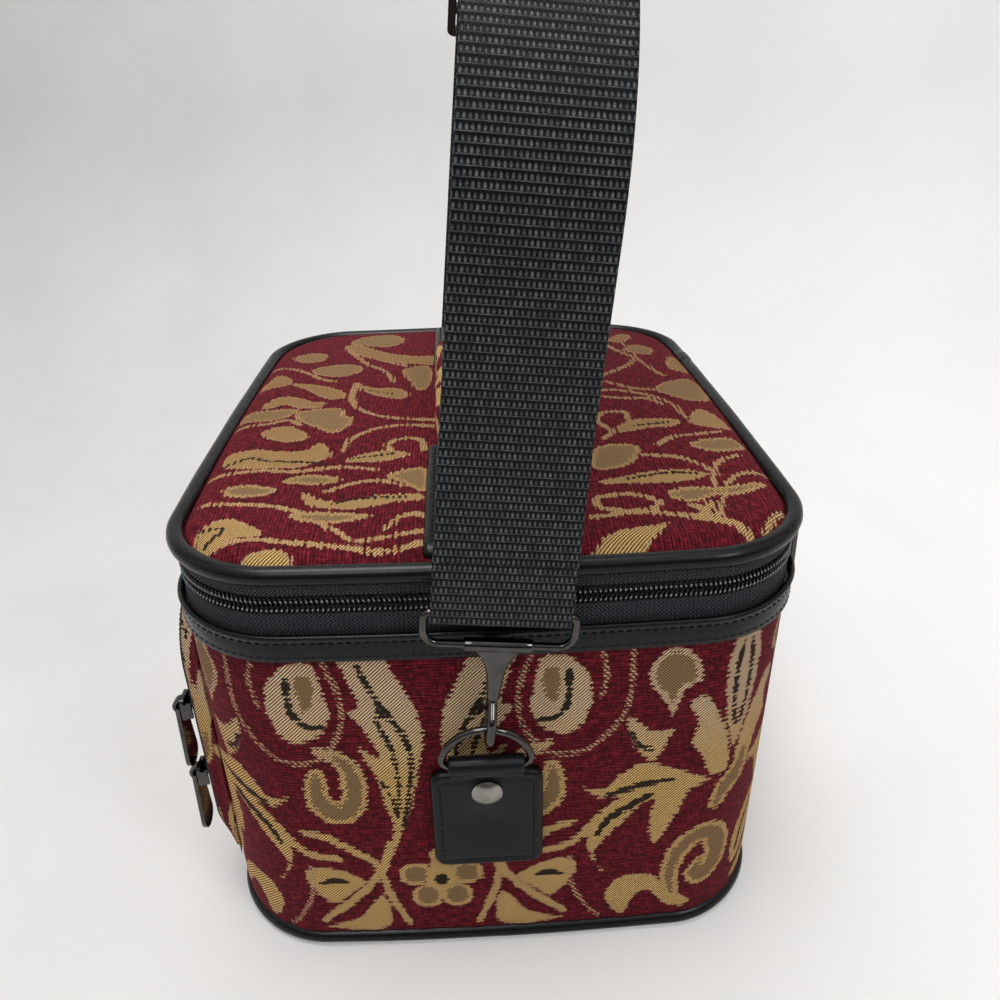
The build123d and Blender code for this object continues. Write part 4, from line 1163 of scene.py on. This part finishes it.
ZIP_HALF, ZIP_FOOT, ZIP_TOP, ZIP_BEND, ZIP_STEP = 80.8, 20.0, 120.8, 18.8, 1.2
zip_path = filleted([(-ZIP_HALF, ZIP_FOOT), (-ZIP_HALF, ZIP_TOP), (ZIP_HALF, ZIP_TOP), (ZIP_HALF, ZIP_FOOT)],
                    (ZIP_BEND, ZIP_BEND))
place, ahead = resample(zip_path, ZIP_STEP)
side = xyz(-ahead[:, 1], ahead[:, 0])
TAPE_PROFILE = [(-4.4, 3.4), (-4.3, 4.5), (4.3, 4.5), (4.4, 3.4)]
strip = np.empty((len(place), len(TAPE_PROFILE), 3))
for k, (a, lift) in enumerate(TAPE_PROFILE):
    strip[:, k, 1:] = place + side * a
    strip[:, k, 0] = -TAPE_X - (lift + 0.4) * foot(strip[:, k, 2])
weave = pairs(np.arange(len(place)) * ZIP_STEP, [0, 1.1, 9.7, 10.8, 19.6])
points, faces, uv = grid(strip, False, True, weave)
uv = cap(points, faces, len(TAPE_PROFILE), uv)
tape = make("pocket_zip_tape", points, faces, TAPE, "case", uv, smooth=False)
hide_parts("pocket_tape")


def front_wall(y):
    """The front wall's own X at a place along it."""
    past = np.clip(np.abs(y) - FLAT_Y, 0, CORNER)
    return bow(-FLAT_X - np.sqrt(CORNER ** 2 - past ** 2), y)[0]


GUSSET = [(9.0, -0.3), (7.6, 0.5), (6.2, 1.7), (5.2, 2.9), (4.4, 3.9), (2.0, 3.9), (-2.0, 3.9), (-4.4, 3.9),
          (-4.4, -0.3)]
GUSSET_BACK = 96.0
strip = np.empty((len(place), len(GUSSET), 3))
for k, (a, lift) in enumerate(GUSSET):
    strip[:, k, 1:] = place + side * a
    strip[:, k, 0] = np.where(a > 5, front_wall(strip[:, k, 1]), -GUSSET_BACK) - lift * foot(strip[:, k, 2])
weave = xyz(FRONT_RUN - strip[..., 1] + strip[..., 0] + GUSSET_BACK, strip[..., 2])
points, faces, uv = grid(strip, False, True, np.concatenate([weave, weave[:, :1]], 1))
uv = cap(points, faces, len(GUSSET), uv, turned=True)
gusset = make("pocket_gusset", points, faces, TAPESTRY, "case", uv)
weave_in(gusset, wall_fields(weave[..., 0].ravel(), weave[..., 1].ravel()))

place, ahead = resample(zip_path, TOOTH_PITCH)
side = xyz(-ahead[:, 1], ahead[:, 0])
spots, longs, wides = [], [], []
for sign in (-1, 1):
    at = place + side * 1.35 * sign
    lean = side * 0.96 + ahead * 0.28 * sign
    wide = ahead * 0.96 - side * 0.28 * sign
    spots.append(np.column_stack([-TEETH_X - 5.1 * foot(at[:, 1]), at]))
    longs.append(np.column_stack([np.zeros(len(at)), lean]))
    wides.append(np.column_stack([np.zeros(len(at)), wide]))
spots, longs, wides = (np.vstack(parts) for parts in (spots, longs, wides))
teeth("pocket_teeth", spots, longs, wides, np.cross(longs, wides), "case", "pocket_coil")

# Linings: a loose wall and floor in the case, and a soft sheet under the lid
s = even_runs(400)
LINING_LOW, LINING_HIGH, LINING_STEP = 5.4, 131.0, 2.2
levels = np.linspace(LINING_LOW, LINING_HIGH, 60)
LIP = [(-4.2, 133.2), (-3.2, 134.6), (-2.5, 135.6), (-2.4, 135.2), (-3.0, 134.2), (-4.0, 132.5),
       (-4.5, LINING_HIGH), (-4.5, LINING_LOW)]
S, Z = np.meshgrid(s, np.concatenate([levels, [z for _, z in LIP]]), indexing="ij")
wrinkle = 0.5 * np.sin(S / 7 + Z / 19) * np.sin(S / 17 - Z / 31)
depth = -5.0 + 0.35 * wrinkle
depth[:, -len(LIP):] = [outset for outset, _ in LIP]
X, Y = plan(S, depth)
points, faces, _ = grid(xyz(X, Y, Z), True, True)
body_lining = make("lining_wall", points, [face[::-1] for face in faces], LINING, "case")
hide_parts("body_lining")
fx, fy, floor_faces = sheet(91.0, 109.0, 29.0, LINING_STEP)
x, y = bow(fx, fy)
z = 5.3 + 0.5 * np.sin(fx / 13 + 1) * np.sin(fy / 17) ** 2
points, faces, uv = closed(xyz(x, y, z), floor_faces, xyz(x, y, 4.3), xyz(fx, fy))
make("lining_floor", points, faces, LINING, "case", uv)
fx, fy, under_faces = sheet(93.0, 111.0, 31.0, LINING_STEP)
x, y = bow(fx, fy)
z = 149.9 + 0.3 * np.sin(fx / 11) * np.sin(fy / 14)
points, faces, uv = closed(xyz(x, y, 150.7), under_faces, xyz(x, y, z), xyz(fx, fy))
lid_lining = make("lining_lid", points, faces, LINING, "lid", uv)
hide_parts("lid_lining")

# Materials of the CAD solids that keep their own shape
for name in nodes:
    metallic = any(word in name for word in ("hook", "gate", "d_ring", "rivet", "slider", "pull"))
    nodes[name].data.materials.clear()
    other = PLASTIC if name == "strap_adjuster" else VINYL
    kept = SILVER if "rivet" in name else GUNMETAL if metallic else other
    nodes[name].data.materials.append(kept)

# Camera, backdrop and light
camera_data = bpy.data.cameras.new("camera")
camera_data.sensor_width, camera_data.lens = 36.0, 30.0
camera = bpy.data.objects.new("camera", camera_data)
bpy.context.scene.collection.objects.link(camera)
CAMERA_PLACE = (-0.0058, -0.3045, 0.2753)
YAW, PITCH, ROLL = (math.radians(a) for a in (2.43, 27.66, 1.03))
ahead = np.array([math.sin(YAW) * math.cos(PITCH), math.cos(YAW) * math.cos(PITCH), -math.sin(PITCH)])
right = np.array([math.cos(YAW), -math.sin(YAW), 0])
down = np.cross(ahead, right)
right, down = (math.cos(ROLL) * right + math.sin(ROLL) * down, math.cos(ROLL) * down - math.sin(ROLL) * right)
turn = Matrix(np.stack([right, -down, -ahead], 1).tolist()).to_4x4()
camera.matrix_world = Matrix.Translation(CAMERA_PLACE) @ turn
bpy.context.scene.camera = camera

COVE_Y, COVE_RADIUS, STAGE_HALF, STAGE_TOP = 0.25, 0.25, 3.0, 2.5
bend = np.radians(np.linspace(0, 90, 16))
sweep = [(-STAGE_HALF, 0.0)]
sweep += [(COVE_Y + COVE_RADIUS * math.sin(a), COVE_RADIUS - COVE_RADIUS * math.cos(a)) for a in bend]
sweep.append((COVE_Y + COVE_RADIUS, STAGE_TOP))
cove = np.array([[(x, y, z) for y, z in sweep] for x in (-STAGE_HALF, STAGE_HALF)])
points, faces, _ = grid(cove, False, False)
floor_mesh = bpy.data.meshes.new("floor")
floor_mesh.from_pydata(points.tolist(), [], faces)
floor_mesh.shade_smooth()
floor = bpy.data.objects.new("floor", floor_mesh)
bpy.context.scene.collection.objects.link(floor)
WARM_WHITE = (1.0, 0.99, 0.98, 1.0)
pale = Shader("floor", roughness=0.7, specular_ior_level=0.15)
FLOOR_GREYS = (0.3, srgb(224, 223, 222)), (0.7, srgb(232, 231, 230))
pale.colour(pale.ramp(pale.noise(pale.place(), 0.01, 4.0), *FLOOR_GREYS))
# What the camera sees of the floor glows a little, more to the right.
# The rays that light the case don't see this glow.
glow = pale.remap(pale.add("SeparateXYZ", pale.place()), -400.0, 400.0, 0.03, 0.34)
pale.put(pale.bsdf.inputs["Emission Color"], WARM_WHITE)
pale.put(pale.bsdf.inputs["Emission Strength"], pale.mul(pale.add("LightPath", out="Is Camera Ray"), glow))
floor_mesh.materials.append(pale.material)


def lamp(name, place, target, size, power):
    data = bpy.data.lights.new(name, "AREA")
    data.shape = "DISK"
    data.size = size
    data.energy = power
    light = bpy.data.objects.new(name, data)
    bpy.context.scene.collection.objects.link(light)
    z = np.array(place) - np.array(target)
    z = z / np.linalg.norm(z)
    x = np.cross((0, 1, 0.01), z)
    x = x / np.linalg.norm(x)
    aim = Matrix(np.stack([x, np.cross(z, x), z], 1).tolist()).to_4x4()
    light.matrix_world = Matrix.Translation(place) @ aim


lamp("top", (-0.2, -0.1, 1.6), (0, 0, 0.1), 0.9, 12)
lamp("front", (-0.3, -0.95, 1.25), (0, 0, 0.1), 0.45, 2.6)
lamp("side", (0.7, -0.8, 1.0), (0, 0, 0.12), 0.3, 2.3)

world = bpy.data.worlds.new("studio")
bpy.context.scene.world = world
world.use_nodes = True
sky = Nodes(world.node_tree)
rays = sky.add("LightPath").node.outputs
seen = sky.most(rays["Is Camera Ray"], rays["Is Transmission Ray"])
# Light from the sky is fuller above and behind than in front
way = sky.add("TexCoord", out="Generated")
rise = sky.add("VectorMath", way, (0.0, 0.4, 0.55), out="Value", operation="DOT_PRODUCT")
soft, bright = (sky.remap(rise, -0.3, 0.6, low, high) for low, high in ((0.1, 0.34), (0.06, 0.95)))
background = sky.tree.nodes["Background"]
sky.put(background.inputs["Strength"], sky.lerp(seen, sky.lerp(rays["Is Glossy Ray"], soft, bright), 0.82))
sky.put(background.inputs["Color"], WARM_WHITE)
bpy.context.scene.view_settings.view_transform = "Standard"
